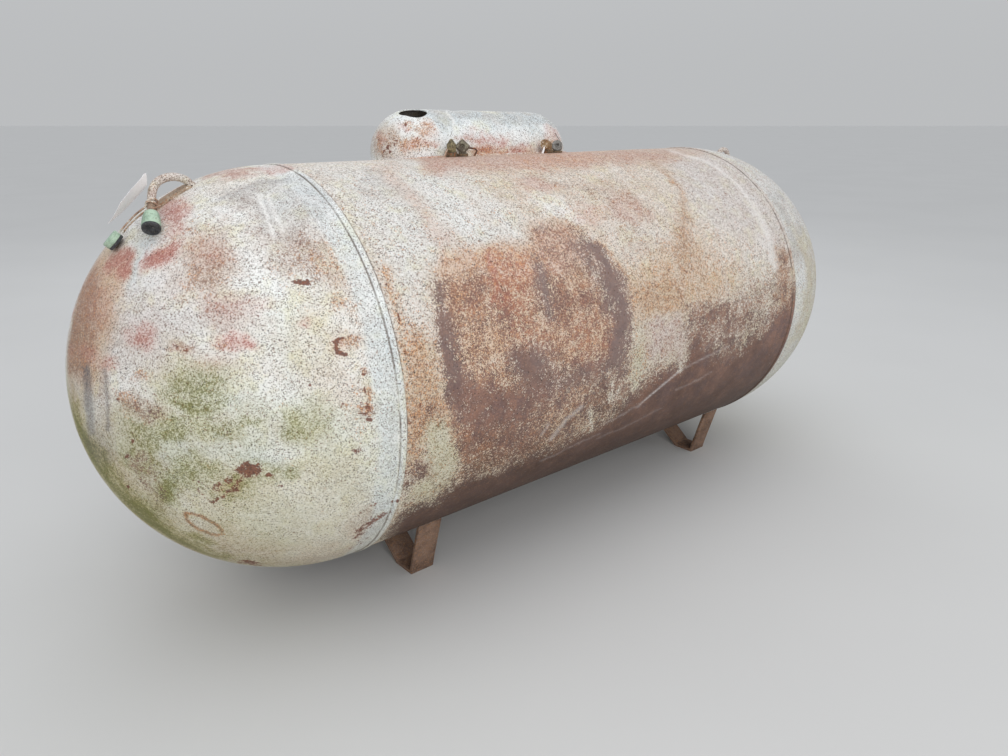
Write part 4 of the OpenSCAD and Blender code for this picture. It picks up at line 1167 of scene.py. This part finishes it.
# ---- ring welds
def ring_bead(name, x0, node):
    cols, rows = 1500, 9
    a = np.linspace(0, 2 * math.pi, cols, endpoint=False)
    prof = [(-0.0085, -0.0016)] + [(-0.0085 * math.cos(math.pi * i / 6), 0.0021 * math.sin(math.pi * i / 6) - 0.0001) for i in range(0, 7)] + [(0.0085, -0.0016)]
    V = []
    for dx, dr in prof:
        base = np.stack([np.full(cols, x0 + dx), -(R) * np.sin(a), AZ + R * np.cos(a)], 1)
        rip = 0.00016 * np.sin(a * R / 0.0046 * 2 + 6 * (dx / 0.0085) ** 2 + 3 * fbm(base, 8, 2, 41)) if dr > 0 else 0
        wob = 0.0007 * fbm(base, 11, 3, 42)
        rr = R + dr + rip * (dr / 0.0021 if dr > 0 else 0)
        rr = np.minimum(rr, R + 0.00245)
        V.append(np.stack([base[:, 0] + wob, -rr * np.sin(a), AZ + rr * np.cos(a)], 1))
    V = np.vstack(V)
    ob = mesh_object(name, V, [tuple(q) for q in lathe_quads(rows, cols, True).tolist()])
    fix_normals(ob)
    nr = normals_of(V)
    kind = "head_left" if x0 < 0 else "shell"
    P = V * np.array([1, 1, 1]) + (np.array([-0.012, 0, 0]) if x0 < 0 else np.array([-0.014, 0, 0]))
    ch = paint_map(P, nr, kind)
    store_channels(ob, ch, len(V))
    assign(ob, weld_mat)
    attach(ob, "root")
    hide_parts(node)


weld_mat = vessel_paint("paint_worn_weld")
ring_bead("ring_weld_left", -HALF, "weld_left")
ring_bead("ring_weld_right", HALF, "weld_right")


# ------------------------------------------------------------------ hood
HOOD_X, HOOD_Y, HOOD_R, HOOD_MID, HOOD_TOP, HOOD_S, HOOD_T, LEAN, HOOD_BASE = -0.048, 0.197, 0.144, 0.450, 1.286, 0.132, 0.003, math.radians(0.9), 1.000


def tank_top(y):
    return AZ + np.sqrt(np.maximum(R * R - y * y, 0))


def hood_place(L):
    x = HOOD_X + L[:, 0] * math.cos(LEAN) + L[:, 2] * math.sin(LEAN)
    z = HOOD_BASE - L[:, 0] * math.sin(LEAN) + L[:, 2] * math.cos(LEAN)
    return np.stack([x, HOOD_Y + L[:, 1], z], 1)


def hood_surface(off, nu, base_drop=0.0):
    """Rows of points from the foot of the hood over its shoulder to its ridge line, inset by off."""
    r, h, s = HOOD_R - off, HOOD_TOP - HOOD_BASE - off, HOOD_S - off
    per = 2 * HOOD_MID + 2 * math.pi * r
    t = np.arange(nu) / nu * per
    cx, ox, oy = [], [], []
    for d in t:
        if d < HOOD_MID:
            cx.append(-HOOD_MID / 2 + d); ox.append(0); oy.append(-1)
        elif d < HOOD_MID + math.pi * r:
            a = -math.pi / 2 + (d - HOOD_MID) / r
            cx.append(HOOD_MID / 2); ox.append(math.cos(a)); oy.append(math.sin(a))
        elif d < 2 * HOOD_MID + math.pi * r:
            cx.append(HOOD_MID / 2 - (d - HOOD_MID - math.pi * r)); ox.append(0); oy.append(1)
        else:
            a = math.pi / 2 + (d - 2 * HOOD_MID - math.pi * r) / r
            cx.append(-HOOD_MID / 2); ox.append(math.cos(a)); oy.append(math.sin(a))
    cx, ox, oy = map(np.array, (cx, ox, oy))
    rows = []
    px, py = cx + ox * r, oy * r
    zb = (tank_top(HOOD_Y + py) - base_drop - HOOD_BASE + px * math.sin(LEAN)) / math.cos(LEAN)
    for f in np.linspace(0, 1, 6):
        rows.append(np.stack([px, py, zb + (h - s - zb) * f], 1))
    for b in np.linspace(0, 90, 41)[1:]:
        bb = math.radians(b)
        rr = r - s + s * math.cos(bb)
        rows.append(np.stack([cx + ox * rr, oy * rr, np.full(nu, h - s + s * math.sin(bb))], 1))
    for rr in np.linspace(r - s, 0, 4)[1:]:
        rows.append(np.stack([cx + ox * rr, oy * rr, np.full(nu, h)], 1))
    return np.array(rows), ox, oy


def hood_shape(P):
    """Small dents and a crease pressed into the sheet, always inwards or level."""
    w = 0.0011 * (0.5 + 0.5 * fbm(P, 7, 3, 51))
    u, v = pixel(P)
    crease = np.exp(-(((u - 450) + 0.45 * (v - 118)) / 5.0) ** 2) * sstep(131, 122, v)
    return w + 0.0026 * crease * sstep(0.2, 0.25, P[:, 1] * -1 + 0.45)


NU = 420
o_rows, ox, oy = hood_surface(0.0, NU)
i_rows, _, _ = hood_surface(HOOD_T, NU)
nr_, nc = o_rows.shape[0], NU


def hood_world(rows, dent=True):
    flat = hood_place(rows.reshape(-1, 3))
    c = np.stack([np.clip(flat[:, 0], HOOD_X - 0.2, HOOD_X + 0.2), np.full(len(flat), HOOD_Y), np.full(len(flat), 1.15)], 1)
    d = flat - c
    d /= np.linalg.norm(d, axis=1)[:, None]
    k = np.repeat(np.clip((np.arange(rows.shape[0]) - 1) / 6.0, 0, 1), rows.shape[1])
    flat = flat - d * (hood_shape(flat) * k)[:, None]
    # the foot is splayed a little at the right end
    foot = np.repeat(np.clip(1 - np.arange(rows.shape[0]) / 7.0, 0, 1) ** 2, rows.shape[1])
    right = sstep(HOOD_X + 0.20, HOOD_X + 0.34, flat[:, 0]) * sstep(0.30, 0.10, flat[:, 1])
    flat[:, 0] += 0.008 * foot * right
    return flat


ow, iw = hood_world(o_rows), hood_world(i_rows)
verts = np.vstack([ow, iw])
F = []
for r_ in range(nr_ - 1):
    for c_ in range(nc):
        d_ = (c_ + 1) % nc
        F.append((r_ * nc + c_, r_ * nc + d_, (r_ + 1) * nc + d_, (r_ + 1) * nc + c_))
        o2 = nr_ * nc
        F.append((o2 + r_ * nc + c_, o2 + (r_ + 1) * nc + c_, o2 + (r_ + 1) * nc + d_, o2 + r_ * nc + d_))
for c_ in range(nc):
    d_ = (c_ + 1) % nc
    F.append((c_, nr_ * nc + c_, nr_ * nc + d_, d_))
hood = mesh_object("hood_cover_sheet", verts, F)
bm = bmesh.new()
bm.from_mesh(hood.data)
bmesh.ops.remove_doubles(bm, verts=bm.verts, dist=0.00002)
bmesh.ops.dissolve_degenerate(bm, edges=bm.edges, dist=0.00001)
bmesh.ops.recalc_face_normals(bm, faces=bm.faces)
bm.to_mesh(hood.data)
bm.free()


def cutter(name, verts, faces):
    ob = mesh_object(name, verts, faces, smooth=False)
    fix_normals(ob)
    return ob


a = np.linspace(0, 2 * math.pi, 72, endpoint=False)
wob = 1 + 0.010 * np.sin(3 * a + 1) + 0.007 * np.sin(5 * a)
oval = np.stack([0.0352 * wob * np.cos(a), 0.0352 * wob * np.sin(a) + 0.010 * np.sign(np.sin(a)) * np.minimum(1, np.abs(np.sin(a)) * 6)], 1)
c20, s20 = math.cos(math.radians(20)), math.sin(math.radians(20))
ringv = np.stack([-0.303 + oval[:, 0] * c20 - oval[:, 1] * s20, 0.162 + oval[:, 0] * s20 + oval[:, 1] * c20], 1)
vent = cutter("cut_vent", [(*p, z) for z in (1.16, 1.40) for p in ringv], [tuple(range(72))[::-1], tuple(range(72, 144))] + [(i, (i + 1) % 72, 72 + (i + 1) % 72, 72 + i) for i in range(72)])
ca, sa = math.cos(math.radians(-45)), math.sin(math.radians(-45))
sm = np.array(Matrix.Rotation(math.radians(-9.1), 3, "Z") @ Matrix.Rotation(math.radians(49.8), 3, "Y") @ Matrix.Rotation(math.radians(52.8), 3, "X"))
slot_v = [np.array([0.2295, 0.0735, 1.202]) + sm @ np.array([x, y, z]) for z in (-0.015, 0.015) for x, y in ((-.017, -.004), (.017, -.004), (.017, .004), (-.017, .004))]
slotc = cutter("cut_slot", slot_v, [(3, 2, 1, 0), (4, 5, 6, 7), (0, 1, 5, 4), (1, 2, 6, 5), (2, 3, 7, 6), (3, 0, 4, 7)])
for c_ in (vent, slotc):
    md = hood.modifiers.new("cut", "BOOLEAN")
    md.operation, md.solver, md.object = "DIFFERENCE", "EXACT", c_
dg = bpy.context.evaluated_depsgraph_get()
done = bpy.data.meshes.new_from_object(hood.evaluated_get(dg))
hood.modifiers.clear()
hood.data = done
for c_ in (vent, slotc):
    bpy.data.objects.remove(c_)
shade_by_angle(hood, 32)
hv = np.zeros(len(hood.data.vertices) * 3, np.float32)
hood.data.vertices.foreach_get("co", hv)
hv = hv.reshape(-1, 3).astype(float)
hn = np.zeros(len(hood.data.vertices) * 3, np.float32)
hood.data.vertices.foreach_get("normal", hn)
hn = hn.reshape(-1, 3).astype(float)
store_channels(hood, paint_map(hv, hn, "hood"), len(hv))
hood_mat = vessel_paint("paint_worn_hood", seam=False)
assign(hood, hood_mat)
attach(hood, "root")
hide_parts("hood_cover")

# weld run round the hood's foot
run = hood_place(np.stack([o_rows[0][:, 0], o_rows[0][:, 1], o_rows[0][:, 2]], 1))
outv = np.stack([ox, oy, np.zeros(NU)], 1)
run = run + outv * 0.0015
run[:, 0] += 0.008 * sstep(HOOD_X + 0.20, HOOD_X + 0.34, run[:, 0]) * sstep(0.30, 0.10, run[:, 1])
d_ = normals_of(run)
run = np.stack([run[:, 0], *(np.array([0, AZ])[:, None] + (R - 0.0005) * d_[:, 1:].T / np.linalg.norm(d_[:, 1:], axis=1))], 1)
V, F = sweep(run, 0.0052 + 0.0011 * np.sin(np.arange(NU) * 1.9) * 0.5, 12, closed=True, rough=0.12, seed=52)
bead = mesh_object("hood_foot_weld", V, F)
fix_normals(bead)
assign(bead, vessel_paint("paint_worn_hood_weld", fixed={"white": .55, "tan": .35, "fleck": .45, "pink": .30, "speck": .4, "brown": .3}, seam=False))
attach(bead, "root")
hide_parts("hood_foot_strip")


# ------------------------------------------------------------------ lifting lugs
def on_head(a, turn, d, left=True):
    a, t = math.radians(a), math.radians(turn)
    rr = R + d / 1000
    x = HC + rr * math.cos(a)
    return np.array([-x if left else x, rr * math.sin(a) * math.sin(t), AZ + rr * math.sin(a) * math.cos(t)])


def blob_ring(centre, axis, radius, bead, seed, sides=10, n=64, squeeze=1.0):
    """Uneven weld bead round a bar."""
    axis = np.array(axis, float)
    axis /= np.linalg.norm(axis)
    u = np.cross(axis, [0.3, 1, 0.2])
    u /= np.linalg.norm(u)
    w = np.cross(axis, u)
    a = np.linspace(0, 2 * math.pi, n, endpoint=False)
    pts = np.array(centre) + radius * (np.cos(a)[:, None] * u * squeeze + np.sin(a)[:, None] * w)
    return sweep(pts, bead * (1 + 0.16 * np.sin(a * 17 + seed) + 0.12 * np.sin(a * 7 + 2 * seed)), sides, closed=True, rough=0.10, seed=seed)


def lug_arch():
    """Route of the sound lug on the right end, legs standing square on the plate."""
    t = math.radians(27.6)
    pts = []
    for z in np.linspace(-0.014, 0.012, 8):
        pts.append((-0.036, z))
    for k in range(1, 48):
        a = math.pi - math.pi * k / 48
        pts.append((0.036 * math.cos(a), 0.012 + 0.036 * math.sin(a)))
    for z in np.linspace(0.012, -0.014, 8):
        pts.append((0.036, z))
    out = []
    for px, pz in pts:
        q = R + pz
        out.append([HC + px * math.cos(t) + q * math.sin(t), 0, AZ - px * math.sin(t) + q * math.cos(t)])
    return np.array(out)


lug_mat = vessel_paint("paint_worn_lug", fixed={"white": .50, "tan": .14, "fleck": .12, "speck": 1.0, "brown": .34, "pink": .06}, seam=False)
pad_mat = rust_material("rust_pad", lit=(180, 162, 142), dark=(146, 126, 108), pale=(206, 192, 172), paint=0.24, seedv=3.0)

arch = lug_arch()
parts = [sweep(arch, 0.0094, 24, rough=0.03, seed=61)]
for i in (0, -1):
    k = 5 if i == 0 else -6
    ax = arch[1] - arch[0]
    base = arch[0] if i == 0 else arch[-1]
    c = np.array([HC, 0, AZ])
    d = (base - c) / np.linalg.norm(base - c)
    parts.append(blob_ring(c + d * (R + 0.0072), ax, 0.0102, 0.0040, 3 + i))
V, F = join(parts)
ob = mesh_object("lifting_lug_right", V, F)
fix_normals(ob)
shade_by_angle(ob, 60)
assign(ob, lug_mat)
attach(ob, "root")
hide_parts("lug_right")

route_deg = [(67.2, 0, -7), (67.2, 0, 0.5), (67.4, 0, 7), (67.1, -0.3, 15), (66.3, -0.7, 24.6), (65.1, -1.2, 34.7), (63.7, -1.8, 42.7), (62.1, -2.4, 48.0),
             (60.6, -3.0, 49.9), (59.3, -3.9, 48.6), (58.0, -5.1, 44.4), (56.8, -6.8, 38.8), (55.4, -9.2, 32.5), (54.1, -11.8, 28.6)]
route = smooth_route([on_head(*p) for p in route_deg], 7)
parts = [sweep(route, 0.0094, 24, rough=0.03, seed=62)]
c = np.array([-HC, 0, AZ])
b0 = on_head(67.2, 0, 0.0)
d = (b0 - c) / np.linalg.norm(b0 - c)
parts.append(blob_ring(c + d * (R + 0.0020), d, 0.0104, 0.0042, 5))
V, F = join(parts)
ob = mesh_object("lifting_lug_left", V, F)
fix_normals(ob)
shade_by_angle(ob, 60)
dn = np.linalg.norm(V - on_head(54.1, -11.8, 28.6), axis=1)
ob.data.attributes.new("rusty_end", "FLOAT", "POINT").data.foreach_set("value", np.ascontiguousarray(sstep(0.050, 0.012, dn), np.float32))
assign(ob, lug_mat)
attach(ob, "root")
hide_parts("lug_left")


def pad_mesh(name, sign, node):
    """Curved pad plate with a ground edge and a fillet weld all round, set on the head."""
    nu_, nv_ = 64, 24
    t = math.radians(27.7)
    top, bot = [], []
    for i in range(nu_ + 1):
        for j in range(nv_ + 1):
            a, b = -0.042 + 0.103 * i / nu_, -0.019 + 0.038 * j / nv_
            e = min(i, nu_ - i) / nu_ * 0.103
            f = min(j, nv_ - j) / nv_ * 0.038
            edge = min(e, f)
            hgt = 0.0066 - 0.0018 * max(0, 1 - edge / 0.0022) ** 2
            for lst, rr in ((top, R + hgt), (bot, R - 0.001)):
                z = math.sqrt(rr * rr - a * a - b * b)
                lst.append([sign * (HC + a * math.cos(t) + z * math.sin(t)), b, AZ - a * math.sin(t) + z * math.cos(t)])
    top, bot = np.array(top), np.array(bot)
    n = len(top)
    F = []
    w = nv_ + 1
    for i in range(nu_):
        for j in range(nv_):
            p = i * w + j
            F.append((p, p + 1, p + w + 1, p + w))
            F.append((n + p, n + p + w, n + p + w + 1, n + p + 1))
    rim = [i * w for i in range(nu_)] + [nu_ * w + j for j in range(nv_)] + [(nu_ - i) * w + nv_ for i in range(nu_)] + [nv_ - j for j in range(nv_)]
    for p, q in zip(rim, rim[1:] + rim[:1]):
        F.append((p, q, n + q, n + p))
    c = np.array([sign * HC, 0, AZ])
    d = top - c
    d /= np.linalg.norm(d, axis=1)[:, None]
    top = top - d * (0.0003 * (1 + fbm(top, 60, 3, 71)))[:, None]
    parts = [(np.vstack([top, bot]), F)]
    # fillet weld round the pad
    loop = []
    for p in rim[::2]:
        a = top[p] - c
        loop.append(c + a / np.linalg.norm(a) * (R + 0.0008))
    k = np.arange(len(loop))
    parts.append(sweep(np.array(loop), 0.0034 * (1 + 0.15 * np.sin(k * 2.1) + 0.1 * np.sin(k * 0.9)), 9, closed=True, rough=0.12, seed=72))
    V, F = join(parts)
    ob = mesh_object(name, V, F)
    fix_normals(ob)
    shade_by_angle(ob, 50)
    assign(ob, pad_mat)
    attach(ob, "root")
    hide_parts(node)


pad_mesh("lug_pad_plate_left", -1, "lug_pad_left")
pad_mesh("lug_pad_plate_right", 1, "lug_pad_right")


# ------------------------------------------------------------------ hangers on the left lug
def turned_piece(name, a, b, prof, sides, mat, nodes, dent=0.0):
    """Turned piece on the line from a to b. prof is a list of (share of the way, radius in metres); it closes at both ends."""
    a, b = np.array(a, float), np.array(b, float)
    ax = (b - a)
    u = np.cross(ax, [0, 0.2, 1.0])
    u /= np.linalg.norm(u)
    w = np.cross(ax, u)
    w /= np.linalg.norm(w)
    ang = np.linspace(0, 2 * math.pi, sides, endpoint=False)
    V = []
    for s, r in prof:
        V.append(a + ax * s + r * (np.cos(ang)[:, None] * u + np.sin(ang)[:, None] * w))
    V = np.vstack(V)
    if dent:
        c = np.repeat(np.array([a + ax * s for s, r in prof]), sides, 0)
        V = c + (V - c) * (1 - dent * (0.5 + 0.5 * fbm(V, 40, 2, 81)))[:, None]
    F = [tuple(q) for q in lathe_quads(len(prof), sides, False).tolist()]
    F.append(tuple(range(sides)))
    F.append(tuple(reversed(range((len(prof) - 1) * sides, len(prof) * sides))))
    ob = mesh_object(name, V, F)
    fix_normals(ob)
    shade_by_angle(ob, 34)
    assign(ob, mat)
    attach(ob, "root")
    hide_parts(*nodes)
    return ob


mint, black = mint_material("mint_enamel"), rubber_material("black_rubber")
na, nb = on_head(54.1, -11.8, 28.6), on_head(51.6, -16.8, 21.0)
nv = (nb - na) / np.linalg.norm(nb - na)
fv = np.array([0.701, -0.203, -0.684])
fv /= np.linalg.norm(fv)
fa = on_head(44.2, -0.5, 26.5)
fb = fa + 0.015 * fv
cup = [(0.0, 0.0080), (0.0, 0.0135), (0.03, 0.0152), (0.10, 0.0165), (0.30, 0.0182), (0.50, 0.0194), (0.52, 0.0190), (0.56, 0.0190), (0.58, 0.0196), (0.80, 0.0201), (0.95, 0.0203), (1.0, 0.0199)]
turned_piece("hanger_near_body", na, nb - 0.006 * nv, cup, 64, mint, ["hanger_near"], 0.015)
body = [(0.0, 0.0060), (0.0, 0.0196), (0.05, 0.0208), (0.14, 0.0212), (0.34, 0.02125), (0.38, 0.0207), (0.44, 0.0207), (0.48, 0.02125), (0.72, 0.0214), (0.86, 0.0214), (0.95, 0.0211), (1.0, 0.0206)]
turned_piece("hanger_far_body", fa, fb, body, 64, mint, ["hanger_far"], 0.015)
face = [(0.0, 0.0198), (0.25, 0.0200), (0.7, 0.0198), (0.92, 0.0192), (1.0, 0.0182), (1.0, 0.0142), (0.84, 0.0134), (0.84, 0.0060), (0.98, 0.0054), (0.98, 0.0010)]
turned_piece("hanger_near_pad", nb - 0.006 * nv, nb, face, 64, black, ["hanger_near_face"])
turned_piece("hanger_far_pad", fb, fb + 0.007 * fv, [(q, r * 1.045) for q, r in face], 64, black, ["hanger_far_face"])

rod_mat = rust_material("rust_rod", lit=(190, 160, 138), dark=(140, 110, 92), pale=(222, 206, 188), paint=0.42, seedv=5.0)
r1 = smooth_route([on_head(56.6, -5.6, 27), on_head(55.4, -7.4, 38), on_head(54.1, -9.0, 39.1), on_head(51.8, -6.6, 33), on_head(49.2, -4.0, 25.2), on_head(46.9, -1.5, 18.2)], 8)
r2 = smooth_route([on_head(56.8, -9.6, 23), on_head(55.6, -11.4, 32), on_head(53.9, -10.5, 35.7), on_head(51.4, -7.8, 29.0), on_head(49.2, -5.0, 21.5), on_head(46.9, -2.5, 14.4)], 8)
loop_c = on_head(55.7, -8.7, 33.8)
loop_ax = on_head(55.4, -9.2, 32.5) - on_head(56.8, -6.8, 38.8)
loop_ax /= np.linalg.norm(loop_ax)
lu = np.cross(loop_ax, [0.2, 0.3, 1.0])
lu /= np.linalg.norm(lu)
lw = np.cross(loop_ax, lu)
la = np.linspace(0, 2 * math.pi, 56, endpoint=False)
parts = [sweep(r1, 0.0021, 12, rough=0.05, seed=63), sweep(r2, 0.0021, 12, rough=0.05, seed=64)]
for off, rad, lean in ((-0.0045, 0.0118, 0.35), (0.0040, 0.0121, -0.22)):
    parts.append(sweep(loop_c + loop_ax * off + rad * (np.cos(la)[:, None] * (lu + lean * loop_ax) + np.sin(la)[:, None] * lw), 0.0021, 10, closed=True, rough=0.05, seed=65))
V, F = join(parts)
ob = mesh_object("hanger_wire_pair", V, F)
fix_normals(ob)
assign(ob, rod_mat)
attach(ob, "root")
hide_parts("hanger_rods")


# ------------------------------------------------------------------ blank tag
def tag_mesh():
    """Stiff paper tag, curled and a little twisted, with its corners cut at the tied end."""
    T, Q, B, L = [np.array(v) for v in ([-1.1672, -0.0553, 1.1524], [-1.1643, -0.0363, 1.1195], [-1.2661, -0.0767, 1.0481], [-1.2464, -0.1172, 1.0950])]
    n, m = 56, 26
    top, bot = [], []
    for i in range(n + 1):
        for j in range(m + 1):
            s_, t = i / n, j / m
            cut = 0.10 * max(0.0, 1 - s_ / 0.07)
            t = cut + (1 - 2 * cut) * t
            c = (T * (1 - t) + Q * t) * (1 - s_) + (L * (1 - t) + B * t) * s_
            du = (L - T) * (1 - t) + (B - Q) * t
            dv = (Q - T) * (1 - s_) + (B - L) * s_
            nr = np.cross(du, dv)
            nr /= np.linalg.norm(nr)
            curl = 0.0034 * math.sin(math.pi * s_) * (0.4 + 0.6 * t) - 0.0016 * (2 * t - 1) ** 2 + 0.0007 * math.sin(8 * s_ + 2 * t)
            for lst, dz in ((top, 0.00022), (bot, -0.00022)):
                lst.append(c + nr * (curl + dz))
    k = len(top)
    F = []
    w = m + 1
    hole = {(i, j) for i in (3, 4, 5) for j in (19, 20, 21)} - {(3, 19), (3, 21), (5, 19), (5, 21)}
    for i in range(n):
        for j in range(m):
            p = i * w + j
            if (i, j) in hole:
                for (di, dj, p0, p1) in ((-1, 0, p, p + 1), (1, 0, p + w + 1, p + w), (0, -1, p + w, p), (0, 1, p + 1, p + w + 1)):
                    if (i + di, j + dj) not in hole:
                        F.append((p0, p1, k + p1, k + p0))
                continue
            F.append((p, p + 1, p + w + 1, p + w))
            F.append((k + p, k + p + w, k + p + w + 1, k + p + 1))
    rim = [i * w for i in range(n)] + [n * w + j for j in range(m)] + [(n - i) * w + m for i in range(n)] + [m - j for j in range(m)]
    for p, q in zip(rim, rim[1:] + rim[:1]):
        F.append((p, q, k + q, k + p))
    V = np.vstack([top, bot])
    used = sorted({i for f in F for i in f})
    new = {o: i for i, o in enumerate(used)}
    return V[used], [tuple(new[i] for i in f) for f in F]


V, F = tag_mesh()
tag = mesh_object("blank_card_tag", V, F)
bm = bmesh.new()
bm.from_mesh(tag.data)
bmesh.ops.remove_doubles(bm, verts=bm.verts, dist=0.00002)
bmesh.ops.dissolve_degenerate(bm, edges=bm.edges, dist=0.00001)
bmesh.ops.recalc_face_normals(bm, faces=bm.faces)
bm.to_mesh(tag.data)
bm.free()
shade_by_angle(tag, 50)
assign(tag, card_material("card_white"))
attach(tag, "root")
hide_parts("blank_tag")


# ------------------------------------------------------------------ carried-over CAD pieces
def finish_cad(node, mat, width=0.0006, segs=2):
    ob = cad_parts[node]
    ob.data.materials.clear()
    ob.data.materials.append(mat)
    w = ob.modifiers.new("weld", "WELD")
    w.merge_threshold = 0.00002
    b = ob.modifiers.new("bevel", "BEVEL")
    b.width, b.segments, b.limit_method, b.angle_limit = width, segs, "ANGLE", math.radians(32)
    b.harden_normals = False
    ob.data.polygons.foreach_set("use_smooth", [True] * len(ob.data.polygons))


leg_near = rust_material("rust_leg", lit=(136, 110, 94), dark=(92, 72, 62), pale=(174, 150, 128), bloom=(150, 112, 82))
for node in ("leg_front_left", "leg_front_right", "leg_back_left", "leg_back_right"):
    finish_cad(node, leg_near, 0.0012, 2)
coup = rust_material("rust_coupling", lit=(120, 104, 84), dark=(70, 62, 52), pale=(168, 150, 120), paint=0.16, seedv=7.0)
for node in ("coupling_brass", "coupling_square", "coupling_elbow", "coupling_cap"):
    finish_cad(node, coup, 0.0012)
finish_cad("plug_brass", metal_material("plug_brass_old", (150, 138, 104), (84, 76, 58), 0.5, 0.30), 0.0009)
finish_cad("plug_square", metal_material("plug_steel_old", (140, 134, 116), (78, 66, 54), 0.55, 0.28), 0.0010)
finish_cad("elbow", rust_material("rust_elbow", lit=(158, 132, 100), dark=(98, 76, 56), pale=(206, 184, 148), paint=0.34, seedv=9.0), 0.0008)
finish_cad("cap_disc", metal_material("cap_steel_old", (146, 144, 140), (92, 88, 84), 0.5, 0.28), 0.0014)


def bent_rod(name, pts, d, mat, node):
    r = smooth_route(np.array(pts) / 1000.0, 8)
    V, F = sweep(r, d / 2000.0, 14, rough=0.05, seed=66)
    ob = mesh_object(name, V, F)
    fix_normals(ob)
    shade_by_angle(ob, 50)
    assign(ob, mat)
    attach(ob, "root")
    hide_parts(node)


def ridge(y):
    return (AZ + math.sqrt(R * R - (y / 1000) ** 2)) * 1000 - 1


bent_rod("rod_bent_left", [(-301, 10, ridge(10)), (-297, 10, 1160), (-292, 11, 1169), (-286, 12, 1177)], 5.9, rod_mat, "rod_left")
bent_rod("rod_bent_middle", [(-212, 16, 1178), (-190, 16, 1176), (-177, 16, 1173), (-172, 16, 1167), (-177, 16, 1160), (-182, 16, ridge(16))], 5.6, rust_material("rust_rod_dark", lit=(104, 76, 64), dark=(62, 46, 42), pale=(150, 120, 100), seedv=4.0), "rod_middle")
bent_rod("rod_bent_right", [(98, 8, ridge(8)), (103, 8, 1165), (109, 9, 1175), (117, 11, 1183)], 5.9, card_material("rod_white_paint"), "rod_right")

# ------------------------------------------------------------------ floor, light
floor = mesh_object("floor", [(150 * math.cos(2 * math.pi * i / 128), 150 * math.sin(2 * math.pi * i / 128), 0) for i in range(128)], [tuple(range(128))], smooth=False)
g = Graph("floor_pale")
assign(floor, g.finish(g.mix(g.step(0.3, 0.7, g.noise(0.9, 3, 0.5)), C(205, 205, 204), C(207, 207, 206)), 0.85, spec=0.2))

world = bpy.data.worlds.new("soft_sky")
bpy.context.scene.world = world
world.use_nodes = True
wt = world.node_tree
bg = wt.nodes["Background"]
bg.inputs[1].default_value = 1.0
tc = wt.nodes.new("ShaderNodeTexCoord")
sx = wt.nodes.new("ShaderNodeSeparateXYZ")
up = wt.nodes.new("ShaderNodeMapRange")
up.interpolation_type = "SMOOTHSTEP"
up.inputs["From Min"].default_value, up.inputs["From Max"].default_value = 0.02, 0.75
mx = wt.nodes.new("ShaderNodeMix")
mx.data_type = "RGBA"
mx.inputs[6].default_value = (0.50, 0.51, 0.52, 1)
mx.inputs[7].default_value = (0.78, 0.80, 0.83, 1)
wt.links.new(tc.outputs["Generated"], sx.inputs[0])
wt.links.new(sx.outputs[2], up.inputs["Value"])
wt.links.new(up.outputs[0], mx.inputs[0])
wt.links.new(mx.outputs[2], bg.inputs[0])


def area(name, loc, target, size, power, color=(1, 1, 1)):
    l = bpy.data.lights.new(name, "AREA")
    l.shape, l.size, l.energy, l.color = "DISK", size, power, color
    ob = bpy.data.objects.new(name, l)
    bpy.context.scene.collection.objects.link(ob)
    ob.location = loc
    d = Vector(target) - Vector(loc)
    ob.rotation_mode = "QUATERNION"
    ob.rotation_quaternion = d.to_track_quat("-Z", "Y")
    return ob


area("sky_panel", (-0.6, -1.0, 5.2), (0, 0, 0.6), 5.5, 46)
area("front_panel", (-2.7, -5.4, 2.9), (0.1, 0, 0.7), 3.5, 122, (1.0, 0.985, 0.96))
area("back_panel", (3.0, 5.0, 3.4), (0, 0, 0.8), 3.5, 45, (0.96, 0.98, 1.0))

bpy.context.scene.view_settings.view_transform = "Standard"
